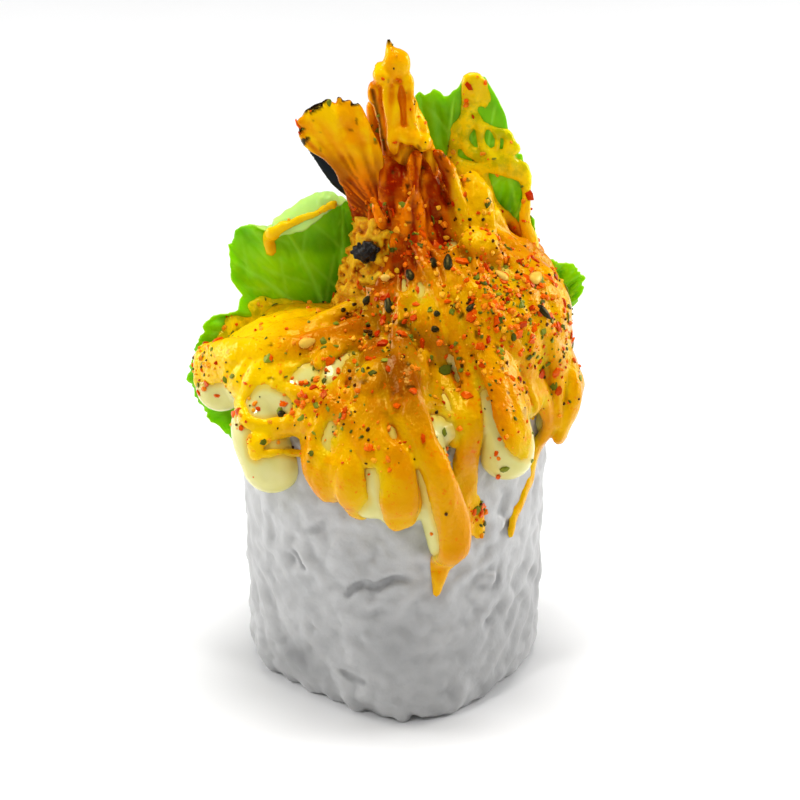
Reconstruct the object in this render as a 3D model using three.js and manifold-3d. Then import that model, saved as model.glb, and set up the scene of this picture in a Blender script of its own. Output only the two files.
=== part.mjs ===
// A fried shrimp sushi roll: the end piece of a thick roll, stood upright on its cut face.
// Rice is outside, the crumbed shrimp runs through it and its tail stands up, lettuce fans out
// of the top, and mayonnaise and an orange cheese sauce run down over the rim.
// Millimetres, +Z up. The origin is the centre of the cut face that it stands on, and -Y faces
// whoever looks at its best side. A place round the roll is given as an angle from that front,
// in degrees, positive to the right.
import * as THREE from "three";
import { mergeVertices } from "three/addons/utils/BufferGeometryUtils.js";
import Module from "manifold-3d";

const wasm = await Module();
wasm.setup();
const { Manifold, Mesh } = wasm;

// ---- Driving dimensions -------------------------------------------------------------------

const ROLL_RADIUS = 26.2;
const ROLL_HEIGHT = 52;
const FOOT_ROUNDING = 4; // the rice curls in where it was pressed and cut
const RIM_ROUNDING = 4;
const GRAIN = { length: 6.4, width: 3.2, count: 109, sink: 0.7, size: [0.88, 1.12] };
const SHRIMP_RADIUS = 8.5; // inside the roll
const CRUST_RADIUS = 9.5; // the crumbed body where it comes out of the roll
const TAIL_JOINT_HEIGHT = 80;
const TAIL_HEIGHT = 111; // tip of the tail, the highest point of all
const LEAF_THICKNESS = 0.9;
const SAUCE_LAYER = 1.3;
const GAP = 0.3; // between neighbours that touch

const DEGREE = Math.PI / 180;
const GOLDEN_ANGLE = 137.508;
const { lerp, clamp } = THREE.MathUtils;

// ---- Solids -------------------------------------------------------------------------------

// A closed geometry as a solid that can be joined and cut.
function solid(geometry) {
  const bare = geometry.index ? geometry.toNonIndexed() : geometry.clone();
  bare.deleteAttribute("normal");
  bare.deleteAttribute("uv");
  const merged = mergeVertices(bare, 1e-4);
  const vertProperties = merged.attributes.position.array;
  const triVerts = new Uint32Array(merged.index.array);
  return new Manifold(new Mesh({ numProp: 3, vertProperties, triVerts }));
}

// Of what a cut leaves, the piece with the most volume: loose scraps are dropped.
function largest(manifold) {
  return manifold.decompose().reduce((a, b) => (b.volume() > a.volume() ? b : a));
}

function named(name, manifold, material) {
  const { vertProperties, triVerts } = manifold.getMesh();
  const indexed = new THREE.BufferGeometry();
  indexed.setAttribute("position", new THREE.BufferAttribute(vertProperties, 3));
  indexed.setIndex(new THREE.BufferAttribute(triVerts, 1));
  const geometry = indexed.toNonIndexed();
  geometry.computeVertexNormals();
  const mesh = new THREE.Mesh(geometry, material);
  mesh.name = name;
  return mesh;
}

// Moves each vertex of a geometry to where place(vertex) puts it.
function reshape(geometry, place) {
  const position = geometry.attributes.position;
  const vertex = new THREE.Vector3();
  for (let i = 0; i < position.count; i++) {
    place(vertex.fromBufferAttribute(position, i));
    position.setXYZ(i, vertex.x, vertex.y, vertex.z);
  }
  return geometry;
}

// The same draws from 0 to 1 each time, so that the food is uneven but always alike.
function seeded(seed) {
  let state = seed;
  return () => {
    state = (state * 1664525 + 1013904223) % 4294967296;
    return state / 4294967296;
  };
}

// A smooth unevenness from -1 to 1, with bumps a few units apart.
function uneven(x, y, z) {
  const a = Math.sin(2.1 * x + 1.3 * Math.sin(1.7 * y));
  const b = Math.sin(2.3 * y + 1.1 * Math.sin(1.9 * z));
  const c = Math.sin(1.9 * z + 1.2 * Math.sin(2.2 * x));
  return (a + b + c) / 3;
}

// The point at an angle round the roll, a reach out from its axis and a height.
function around(angle, reach, height) {
  const a = angle * DEGREE;
  return new THREE.Vector3(reach * Math.sin(a), -reach * Math.cos(a), height);
}

// Directions in which a strand can be flattened.
const outward = (point) => new THREE.Vector3(point.x, point.y, 0).normalize();
const forward = () => new THREE.Vector3(0, -1, 0);

// A strand with round ends along a smooth curve through points. Its half widths are spread along
// it, and flat is its depth over its width, measured in the direction that facing gives.
function strand(points, radii, { sides = 6, steps = 2, flat = 1, facing = outward, grow = 0 } = {}) {
  const curve = new THREE.CatmullRomCurve3(points, false, "centripetal");
  const capRings = 2;
  const geometry = new THREE.CapsuleGeometry(1, 1, capRings, sides, steps);
  return reshape(geometry, (v) => {
    const t = clamp(v.y + 0.5, 0, 1);
    const pastEnd = v.y + 0.5 - t;
    const slot = t * (radii.length - 1);
    const i = Math.min(Math.floor(slot), radii.length - 2);
    const radius = lerp(radii[i], radii[i + 1], slot - i);
    const centre = curve.getPoint(t);
    const along = curve.getTangent(t);
    const across = new THREE.Vector3().crossVectors(facing(centre), along).normalize();
    const inward = new THREE.Vector3().crossVectors(across, along);
    centre.addScaledVector(across, v.x * (radius + grow));
    centre.addScaledVector(inward, v.z * (radius * flat + grow));
    v.copy(centre.addScaledVector(along, pastEnd * (radius + grow)));
  });
}

function ellipsoid([x, y, z], [a, b, c], grow = 0) {
  const geometry = new THREE.SphereGeometry(1, 12, 7);
  geometry.rotateX(Math.PI / 2);
  geometry.scale(a + grow, b + grow, c + grow);
  return geometry.translate(x, y, z);
}

// A thin closed sheet over surface(u, v), with u and v from 0 to 1, both faces split alike.
function sheet(columns, rows, surface, thickness) {
  const positions = [];
  const step = 1e-3;
  for (const side of [0.5, -0.5])
    for (let j = 0; j <= rows; j++)
      for (let i = 0; i <= columns; i++) {
        const [u, v] = [i / columns, j / rows];
        const du = surface(u + step, v).sub(surface(u - step, v));
        const dv = surface(u, v + step).sub(surface(u, v - step));
        const normal = du.cross(dv).normalize();
        positions.push(...surface(u, v).addScaledVector(normal, side * thickness));
      }
  const width = columns + 1;
  const back = width * (rows + 1);
  const index = [];
  for (let j = 0; j < rows; j++)
    for (let i = 0; i < columns; i++) {
      const a = i + j * width;
      const [b, c, d] = [a + 1, a + width + 1, a + width];
      index.push(a, b, c, a, c, d);
      index.push(back + a, back + c, back + b, back + a, back + d, back + c);
    }
  const rim = [];
  for (let i = 0; i < columns; i++) rim.push(i);
  for (let j = 0; j < rows; j++) rim.push(columns + j * width);
  for (let i = columns; i > 0; i--) rim.push(i + rows * width);
  for (let j = rows; j > 0; j--) rim.push(j * width);
  rim.forEach((a, k) => {
    const b = rim[(k + 1) % rim.length];
    index.push(a, back + a, back + b, a, back + b, b);
  });
  const geometry = new THREE.BufferGeometry();
  geometry.setAttribute("position", new THREE.Float32BufferAttribute(positions, 3));
  geometry.setIndex(index);
  return geometry;
}

// ---- Shrimp: crumbed body through the roll, tail fan on top --------------------------------

const CRAGS = { depth: 0.09, width: 2.4 }; // of the crumb, as a share of the radius, and in mm
const BODY_LEAN = 1; // how far the body bends to the left where it leaves the roll
const BODY_TOP = TAIL_JOINT_HEIGHT + 3;

// Radius of the crumbed body from one height to the next.
const BODY_PROFILE = [
  [0, SHRIMP_RADIUS],
  [ROLL_HEIGHT - 4, SHRIMP_RADIUS],
  [ROLL_HEIGHT + 4, CRUST_RADIUS],
  [ROLL_HEIGHT + 14, CRUST_RADIUS - 0.5],
  [TAIL_JOINT_HEIGHT - 6, 6.8],
  [BODY_TOP, 4.8],
];

function bodyRadius(height) {
  const z = Math.min(height, BODY_TOP);
  const next = Math.max(1, BODY_PROFILE.findIndex(([top]) => top >= z));
  const [[z0, r0], [z1, r1]] = [BODY_PROFILE[next - 1], BODY_PROFILE[next]];
  return lerp(r0, r1, (z - z0) / (z1 - z0));
}

function shrimpBody(grow) {
  const rows = 6;
  const profile = [new THREE.Vector2(0, 0), new THREE.Vector2(bodyRadius(0) + grow, 0)];
  for (let i = 0; i <= rows; i++) {
    const z = lerp(ROLL_HEIGHT - 4, BODY_TOP, i / rows);
    profile.push(new THREE.Vector2(bodyRadius(z) + grow, z));
  }
  profile.push(new THREE.Vector2(0, BODY_TOP + grow));
  const geometry = new THREE.LatheGeometry(profile, 12);
  geometry.rotateX(Math.PI / 2);
  return reshape(geometry, (v) => {
    if (v.z <= ROLL_HEIGHT) return;
    const crag = v.z < BODY_TOP ? CRAGS.depth : 0;
    const swell = 1 + crag * uneven(v.x / CRAGS.width, v.y / CRAGS.width, v.z / CRAGS.width);
    v.set(v.x * swell - BODY_LEAN, v.y * swell, v.z);
  });
}

// Each blade of the tail: its line from the joint to its tip, half widths along that line, and
// its depth over its width.
const TAIL_BLADES = {
  left: { line: [[-1, 0, 79], [-5, -1, 88], [-10.8, -1.5, 98.6]], radii: [4, 4.4, 5.2, 4.4], flat: 0.42 },
  right: { line: [[1.5, 0, 79], [2.2, 1, 92], [-0.6, 1.5, 107.5]], radii: [4.6, 4.2, 3.9, 3.2], flat: 0.6 },
  dark: { line: [[-1.5, 2.2, 82], [-6.5, 2.4, 88], [-12, 2, 95]], radii: [3.4, 3.4, 2.6], flat: 0.3 },
  middle: { line: [[0, 2.5, 80], [-2, 3, 90], [-3, 3, 98]], radii: [3.4, 2.8, 2], flat: 0.4 },
};

function shrimp(grow = 0) {
  const blades = Object.values(TAIL_BLADES).map(({ line, radii, flat }) => {
    const points = line.map((p) => new THREE.Vector3(...p));
    return solid(strand(points, radii, { sides: 8, steps: 3, flat, facing: forward, grow }));
  });
  const whole = Manifold.union([solid(shrimpBody(grow)), ...blades]);
  return whole.trimByPlane([0, 0, -1], -(TAIL_HEIGHT + grow));
}

// ---- Lettuce ------------------------------------------------------------------------------

// A leaf fans out from its foot. rim lists, for directions in degrees above the horizontal, how
// far its edge reaches. turn swings the fan round the upright through its foot, wave is how deep
// its ruffles are, lean tips its edge towards the front, and fold rolls a stretch of its edge on.
const LEAVES = {
  lettuce_left: {
    foot: [-7, 7, 55],
    turn: 12,
    rim: [
      [84, 29],
      [93, 28.5],
      [104, 31],
      [121, 28],
      [131, 30],
      [140, 27.5],
      [150, 22.5],
      [162, 27],
      [178, 28],
      [213, 24.5],
    ],
    wave: 1.5,
    lean: 1,
    fold: { middle: 108, half: 20, depth: 4 },
    columns: 15,
  },
  lettuce_right: {
    foot: [10, 8, 56],
    turn: -8,
    rim: [[52, 23.5], [62, 27.5], [70, 35], [78, 41.5], [85, 48], [91, 44.5], [98, 44.5]],
    wave: 1.4,
    lean: 1,
    columns: 11,
  },
  lettuce_side: {
    foot: [14, 8, 57],
    turn: -8,
    rim: [[10, 15], [22, 17.5], [33, 22], [43, 22], [55, 20], [68, 19]],
    wave: 1,
    lean: 1,
    columns: 8,
  },
  lettuce_back: {
    foot: [2, 13, 54],
    turn: 180,
    rim: [[40, 19], [60, 24], [80, 22], [100, 27], [120, 22], [140, 19]],
    wave: 1.6,
    lean: -3,
    columns: 8,
  },
};

const LEAF_ROWS = 5;
const LEAF_START = 0.08; // share of the way out at which the sheet starts
const RUFFLE = { perDegree: 0.105, perReach: 3.2 };

function leaf({ foot, turn, rim, wave, lean, fold, columns }, grow = 0) {
  const stations = rim.map(([direction, reach]) => new THREE.Vector3(direction, reach, 0));
  const edge = new THREE.CatmullRomCurve3(stations);
  const surface = (u, v) => {
    const { x: direction, y: reach } = edge.getPoint(clamp(u, 0, 1));
    const out = lerp(LEAF_START, 1, v);
    const ruffle = wave * out ** 2 * Math.sin(RUFFLE.perDegree * direction + RUFFLE.perReach * out);
    const nearFold = fold ? Math.max(0, 1 - ((direction - fold.middle) / fold.half) ** 2) : 0;
    const rolled = fold ? fold.depth * nearFold * out ** 6 : 0;
    const a = direction * DEGREE;
    const depth = ruffle + lean * out ** 2 + rolled;
    return new THREE.Vector3(reach * out * Math.cos(a), -depth, reach * out * Math.sin(a));
  };
  const geometry = sheet(columns, LEAF_ROWS, surface, LEAF_THICKNESS + 2 * grow);
  geometry.rotateZ(turn * DEGREE);
  return geometry.translate(...foot);
}

// ---- Mayonnaise ---------------------------------------------------------------------------

// Heaps of mayonnaise over the top of the roll: centre and half sizes.
const BED = [[0, 0, 55], [28, 27, 9]];
const SAUCED_MOUNDS = [
  [[11.5, -1, 64], [17.5, 16, 15]],
  [[-13, -6, 58], [16, 15, 8.5]],
  [[11, 3, 76], [7, 6, 11]],
];
const MOUNDS = [BED, ...SAUCED_MOUNDS];

// Lobes that run over the rim: angle, reach and height of each station, then half widths.
const FRONT_LOBES = {
  leftDrip: { line: [[-57, 23, 58], [-53, 27.3, 52], [-48, 27, 46]], radii: [4.5, 5, 5] },
  leftArm: { line: [[-63, 17, 59], [-77, 26, 57], [-80, 29.5, 54]], radii: [4.5, 4.5, 4.3] },
  middleLeft: { line: [[-35, 19, 61], [-20, 26.5, 50], [-13, 27, 44]], radii: [3.8, 3.8, 3.8] },
  middle: { line: [[-10, 19, 60], [-3, 27, 50], [2, 27, 43]], radii: [4, 4, 4] },
  longest: { line: [[5, 18, 62], [10, 26.5, 52], [16, 27, 42], [19, 26.8, 35]], radii: [3.8, 3.8, 3.2] },
  rightDrip: { line: [[45, 21, 62], [42, 27, 52], [42.5, 27.2, 49]], radii: [4.6, 4.6, 4.6] },
  rightSide: { line: [[75, 24.5, 62], [78, 27.6, 54], [76, 27.4, 49]], radii: [4, 4, 3.6] },
};

// Lobes and ropes of sauce go on round the back, a step apart and drooping below the roll's top.
const ROUND_THE_BACK = { first: 107, last: 262, step: 36, droop: [7, 14], lean: [-6, 8] };

function roundTheBack(seed, stations) {
  const draw = seeded(seed);
  const { first, last, step, droop, lean } = ROUND_THE_BACK;
  const lines = [];
  for (let angle = first; angle <= last; angle += step) {
    const end = ROLL_HEIGHT - lerp(...droop, draw());
    lines.push(stations(angle, lerp(...lean, draw()), end));
  }
  return lines;
}

const BACK_LOBES = roundTheBack(11, (angle, lean, end) => ({
  line: [[angle, 19, 61], [angle + lean / 2, 26.3, 53], [angle + lean, 27, end + 4]],
  radii: [4.4, 4.4, 4.4],
}));

const LOBES = [...Object.values(FRONT_LOBES), ...BACK_LOBES].map(({ line, radii }) => ({
  points: line.map((station) => around(...station)),
  radii,
}));

function mayonnaise(grow = 0) {
  const mounds = MOUNDS.map(([centre, radii]) => solid(ellipsoid(centre, radii, grow)));
  const lobes = LOBES.map(({ points, radii }) => solid(strand(points, radii, { grow })));
  return Manifold.union([...mounds, ...lobes]);
}

// ---- Orange cheese sauce ------------------------------------------------------------------

const PROBE = { from: 40, step: 0.2 };

// How far out the mayonnaise or the roll reaches at an angle and a height.
function skin(angle, height) {
  const probe = new THREE.Vector3();
  const nearest = new THREE.Vector3();
  const inMound = ([centre, radii]) => {
    const [x, y, z] = [0, 1, 2].map((k) => (probe.getComponent(k) - centre[k]) / radii[k]);
    return x * x + y * y + z * z < 1;
  };
  const inLobe = ({ points, radii }) =>
    points.slice(1).some((end, i) => {
      new THREE.Line3(points[i], end).closestPointToPoint(probe, true, nearest);
      return nearest.distanceTo(probe) < radii[i];
    });
  const rollReach = height < ROLL_HEIGHT ? ROLL_RADIUS : bodyRadius(height);
  for (let reach = PROBE.from; reach > rollReach; reach -= PROBE.step) {
    probe.copy(around(angle, reach, height));
    if (MOUNDS.some(inMound) || LOBES.some(inLobe)) return reach;
  }
  return rollReach;
}

// Ropes of sauce laid on that surface: angle and height of each station, then half widths.
const FRONT_ROPES = {
  leftArm: { line: [[-25, 66], [-47, 64.5], [-66, 62], [-80, 58]], radii: [3, 3.6, 4] },
  leftLoop: { line: [[-42, 63], [-58, 57], [-52, 52], [-34, 52.5], [-18, 52]], radii: [2.4, 2.4, 2.6] },
  leftFinger: { line: [[-26, 53], [-40, 51], [-54, 46.5]], radii: [2.6, 2.4, 2.2] },
  leftFall: { line: [[-30, 57], [-22, 49], [-20, 42]], radii: [3.4, 3.2, 3] },
  middleFall: { line: [[-26, 61], [-9, 55], [-1, 47], [-2, 41]], radii: [3.2, 3.6, 3.8, 3.4] },
  longest: {
    line: [[2, 73], [3, 64], [10, 55], [17, 43], [20, 33], [17, 28]],
    radii: [3.4, 3.6, 3.8, 3.8, 3.6, 1],
  },
  besideLongest: { line: [[32, 73], [31, 63], [27, 54], [26, 42], [28, 35]], radii: [3, 3.2, 3.4, 3.2, 2.6] },
  rightFall: { line: [[38, 73], [45, 65], [50, 57], [50, 52]], radii: [3.2, 3.8, 4, 3.2] },
  rightTrickle: { line: [[62, 62], [70, 50], [62, 41], [50, 34]], radii: [3.4, 3, 2.2, 0.9] },
  rightEdge: { line: [[80, 70], [82, 60], [78, 51], [72, 46]], radii: [3, 3.4, 3, 2.4] },
};

const BACK_ROPES = roundTheBack(5, (angle, lean, end) => ({
  line: [[angle, 69], [angle + lean / 2, 60], [angle + lean, 53], [angle + lean, end]],
  radii: [3.6, 3.6, 3.6, 2.9],
}));

const ROPE_SINK = 0.3; // share of its half width by which a rope's middle lies under the surface
const ROPE_FLAT = 0.75;

function rope({ line, radii }, grow) {
  const points = line.map(([angle, height]) => {
    const reach = skin(angle, height) - ROPE_SINK * radii[0];
    return around(angle, reach, height);
  });
  return solid(strand(points, radii, { steps: line.length - 1, flat: ROPE_FLAT, grow }));
}

// Sauce that ran down the front of the right leaf: stations and half widths.
const LEAF_ROPES = [
  { line: [[12.5, 4.4, 102], [13.5, 4.2, 95], [9.5, 4, 90], [8, 2, 84]], radii: [2.6, 3.2, 3.4, 4] },
  { line: [[15, 4, 93], [20.5, 3.2, 87], [22.5, 2, 80], [21, 0, 73]], radii: [2.6, 3, 2, 3] },
];
const LEAF_ROPE_FLAT = 0.5;

function leafRope({ line, radii }, grow) {
  const points = line.map((p) => new THREE.Vector3(...p));
  return solid(strand(points, radii, { steps: 4, flat: LEAF_ROPE_FLAT, facing: forward, grow }));
}

// Seeds and flakes stuck on the sauce, spread by the golden angle from its rim to its top. Every
// third one is a seed.
const SPRINKLES = { count: 18, low: 54, high: 78, seed: [3.4, 1.9, 1.6], flake: [2.2, 1.5, 0.9] };

function sprinkles() {
  const draw = seeded(23);
  return Array.from({ length: SPRINKLES.count }, (_, i) => {
    const angle = (i * GOLDEN_ANGLE) % 360;
    const height = lerp(SPRINKLES.low, SPRINKLES.high, (i + 0.5) / SPRINKLES.count);
    const shape =
      i % 3 === 0
        ? new THREE.SphereGeometry(0.5, 5, 3).scale(...SPRINKLES.seed)
        : new THREE.BoxGeometry(...SPRINKLES.flake);
    shape.rotateZ(draw() * Math.PI);
    shape.rotateX(Math.PI / 2);
    shape.rotateZ(angle * DEGREE);
    return solid(shape.translate(...around(angle, skin(angle, height) + SAUCE_LAYER, height)));
  });
}

function orangeSauce(grow = 0) {
  const layer = SAUCED_MOUNDS.map(([centre, radii]) => solid(ellipsoid(centre, radii, SAUCE_LAYER + grow)));
  const ropes = [...Object.values(FRONT_ROPES), ...BACK_ROPES].map((one) => rope(one, grow));
  const onLeaf = LEAF_ROPES.map((one) => leafRope(one, grow));
  return Manifold.union([...layer, ...ropes, ...onLeaf, ...sprinkles()]);
}

// ---- Rice ---------------------------------------------------------------------------------

// The roll was pressed flat on both sides of its front, most of all at its foot: where, over how
// many degrees each way, and the share by which the radius changes there.
const PRESSED = [
  { angle: -42, half: 30, by: -0.13 },
  { angle: 8, half: 15, by: 0.03 },
  { angle: 62, half: 28, by: -0.05 },
];

function pressed(v) {
  const angle = Math.atan2(v.x, -v.y) / DEGREE;
  const nearFoot = (1 - v.z / ROLL_HEIGHT) ** 2;
  const change = PRESSED.reduce((sum, p) => sum + p.by * Math.exp(-(((angle - p.angle) / p.half) ** 2)), 0);
  const swell = 1 + nearFoot * change;
  return v.set(v.x * swell, v.y * swell, v.z);
}

// The pressed rice under its outer grains: a drum with a rounded foot and rim.
function riceCore(grow = 0) {
  const r = ROLL_RADIUS - GRAIN.sink + grow;
  const h = ROLL_HEIGHT + grow;
  const [foot, rim] = [FOOT_ROUNDING, RIM_ROUNDING];
  const cornerSteps = 2;
  const profile = [new THREE.Vector2(0, 0)];
  for (let i = 0; i <= cornerSteps; i++) {
    const a = ((i / cornerSteps) * Math.PI) / 2;
    profile.push(new THREE.Vector2(r - foot * (1 - Math.sin(a)), foot * (1 - Math.cos(a))));
  }
  profile.push(new THREE.Vector2(r, h / 2));
  for (let i = 0; i <= cornerSteps; i++) {
    const a = ((i / cornerSteps) * Math.PI) / 2;
    profile.push(new THREE.Vector2(r - rim * (1 - Math.cos(a)), h - rim * (1 - Math.sin(a))));
  }
  profile.push(new THREE.Vector2(0, h));
  return reshape(new THREE.LatheGeometry(profile, 24).rotateX(Math.PI / 2), pressed);
}

const GRAIN_TIPPING = 0.5; // most that a grain's ends tip in or out, in radians

// Grains lie on the wall by the golden angle, and turn under with it at the foot.
function grains() {
  const draw = seeded(3);
  return Array.from({ length: GRAIN.count }, (_, i) => {
    const height = lerp(GRAIN.width / 2, ROLL_HEIGHT, (i + 0.5) / GRAIN.count);
    const angle = (i * GOLDEN_ANGLE) % 360;
    const under = Math.max(0, 1 - height / FOOT_ROUNDING);
    const reach = ROLL_RADIUS - GRAIN.sink - FOOT_ROUNDING * (1 - Math.sqrt(1 - under ** 2));
    const size = lerp(...GRAIN.size, draw());
    const grain = new THREE.SphereGeometry(0.5, 5, 3);
    grain.scale(GRAIN.width * size, GRAIN.length * size, GRAIN.width * size);
    grain.rotateZ(draw() * Math.PI);
    grain.rotateX(Math.PI / 2 - (draw() - 0.5) * GRAIN_TIPPING + under);
    grain.rotateZ(angle * DEGREE);
    return solid(grain.translate(...pressed(around(angle, reach, height))));
  });
}

// Grains that would cross the toppings are left out, and the shrimp's bore runs through.
function rice(toppings, filling) {
  const clear = grains().filter((grain) => grain.intersect(toppings).isEmpty());
  const whole = Manifold.union([solid(riceCore()), ...clear]).trimByPlane([0, 0, 1], 0);
  return largest(whole.subtract(filling));
}

// ---- The object: the shrimp stays whole, and each neighbour is cut clear of those before it --

function material(color, roughness) {
  return new THREE.MeshStandardMaterial({ color, roughness, metalness: 0 });
}

const RICE_WHITE = material(0xd9d9d6, 0.45);
const CRUST_GOLD = material(0xd98a1a, 0.6);
const LEAF_GREEN = material(0x79b80f, 0.5);
const MAYO_CREAM = material(0xe6e2b8, 0.25);
const SAUCE_ORANGE = material(0xe69a05, 0.25);

const grownShrimp = shrimp(GAP);
const filling = grownShrimp.add(grownShrimp.translate([0, 0, -1]));
const coreClear = solid(riceCore(GAP));
const mayoClear = mayonnaise(GAP);

const mayoBody = largest(mayonnaise().subtract(coreClear).subtract(filling));
const sauceBody = largest(orangeSauce().subtract(mayoClear).subtract(coreClear).subtract(filling));
const riceBody = rice(mayoClear.add(sauceBody), filling);

const round = Manifold.union([mayoClear, orangeSauce(GAP), coreClear, filling]);

const roll = new THREE.Group();
roll.add(named("rice", riceBody, RICE_WHITE));
roll.add(named("fried_shrimp", shrimp(), CRUST_GOLD));
for (const [name, shape] of Object.entries(LEAVES)) {
  roll.add(named(name, largest(solid(leaf(shape)).subtract(round)), LEAF_GREEN));
}
roll.add(named("mayonnaise", mayoBody, MAYO_CREAM));
roll.add(named("orange_sauce", sauceBody, SAUCE_ORANGE));

export default roll;
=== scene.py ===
import copy
import math
from collections import namedtuple

import bpy
import numpy as np
import openvdb
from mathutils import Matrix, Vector
from mathutils.bvhtree import BVHTree


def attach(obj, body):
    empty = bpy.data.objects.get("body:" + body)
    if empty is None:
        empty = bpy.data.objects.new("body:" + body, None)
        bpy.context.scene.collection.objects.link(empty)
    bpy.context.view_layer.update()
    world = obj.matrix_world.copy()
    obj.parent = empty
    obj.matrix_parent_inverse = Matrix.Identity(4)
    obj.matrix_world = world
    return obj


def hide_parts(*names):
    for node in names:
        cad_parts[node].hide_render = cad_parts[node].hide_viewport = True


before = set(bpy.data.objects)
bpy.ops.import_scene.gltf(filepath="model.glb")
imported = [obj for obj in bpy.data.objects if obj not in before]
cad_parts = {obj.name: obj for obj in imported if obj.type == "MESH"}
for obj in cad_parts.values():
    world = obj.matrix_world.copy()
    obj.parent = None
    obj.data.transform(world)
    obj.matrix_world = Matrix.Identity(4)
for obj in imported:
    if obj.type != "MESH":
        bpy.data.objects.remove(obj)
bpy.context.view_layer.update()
MM = 0.001

# ---- Driving sizes, as on the part ----

ROLL_RADIUS = 26.2
ROLL_HEIGHT = 52.0
CORNER = 4.0  # rounding of the rice's foot and rim
GRAIN_SINK = 0.7
BODY_TOP = 83.0
BODY_LEAN = 1.0
# Height and radius along the shrimp's body.
BODY_PROFILE = [(0, 8.5), (48, 8.5), (56, 9.5), (66, 9.0), (74, 6.8), (83, 4.8)]
# Where the rice was pressed: angle, half width in degrees and share of the radius.
PRESSED = [(-40, 30, -0.16), (8, 15, 0.03), (60, 28, -0.08)]
# The bed and the mounds over the rice: middle and radii.
MOUNDS = [((0, 0, 55), (28, 27, 9)), ((11.5, -1, 64), (17.5, 16, 15))]
MOUNDS += [((-13, -6, 58), (16, 15, 8.5)), ((11, 3, 76), (7, 6, 11))]

VOXEL = 0.46
FAR = 6.0
GOLDEN_ANGLE = 137.508


# ---- Numbers ----


def around(angle, reach, height):
    a = math.radians(angle)
    return np.array([reach * math.sin(a), -reach * math.cos(a), height], float)


def unit(v):
    """A vector, or each row of vectors, at length 1."""
    return v / np.maximum(np.linalg.norm(v, axis=-1, keepdims=True), 1e-9)


def smooth_line(points, per=6):
    """A Catmull-Rom curve through the points, as a list of nearer points."""
    p = np.array(points, float)
    if len(p) < 3:
        return p
    p = np.vstack([2 * p[0] - p[1], p, 2 * p[-1] - p[-2]])
    out = []
    for a, b, c, d in zip(p, p[1:], p[2:], p[3:]):
        for t in np.linspace(0, 1, per, endpoint=False):
            curve = 2 * b + (c - a) * t + (2 * a - 5 * b + 4 * c - d) * t**2 + (3 * b - a - 3 * c + d) * t**3
            out.append(0.5 * curve)
    return np.array([*out, p[-2]])


def lattice(ix, iy, iz, seed):
    n = (ix * 374761393 + iy * 668265263 + iz * 1442695041 + seed * 1274126177) & 0xFFFFFFFF
    n = ((n ^ (n >> 13)) * 1274126177) & 0xFFFFFFFF
    return ((n ^ (n >> 16)) & 0xFFFF) / 32767.5 - 1


def corners(f):
    """The eight corners of a cell, and the weight of each at shares f of the way through it."""
    for step in np.ndindex(2, 2, 2):
        x, y, z = (f[:, k] if step[k] else 1 - f[:, k] for k in range(3))
        yield step, x * y * z


def noise(points, scale, seed=0):
    """Smooth noise from -1 to 1 at (n, 3) points, with bumps of about that scale."""
    q = np.asarray(points, float) / scale
    i = np.floor(q).astype(np.int64)
    f = q - i
    f = f * f * (3 - 2 * f)
    return sum(w * lattice(*(i + step).T, seed) for step, w in corners(f))


def raised(points, normals, by):
    return points + normals * by[:, None]


def ramp(x, low, high):
    t = np.clip((x - low) / (high - low), 0, 1)
    return t * t * (3 - 2 * t)


# ---- Distance fields ----


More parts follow.
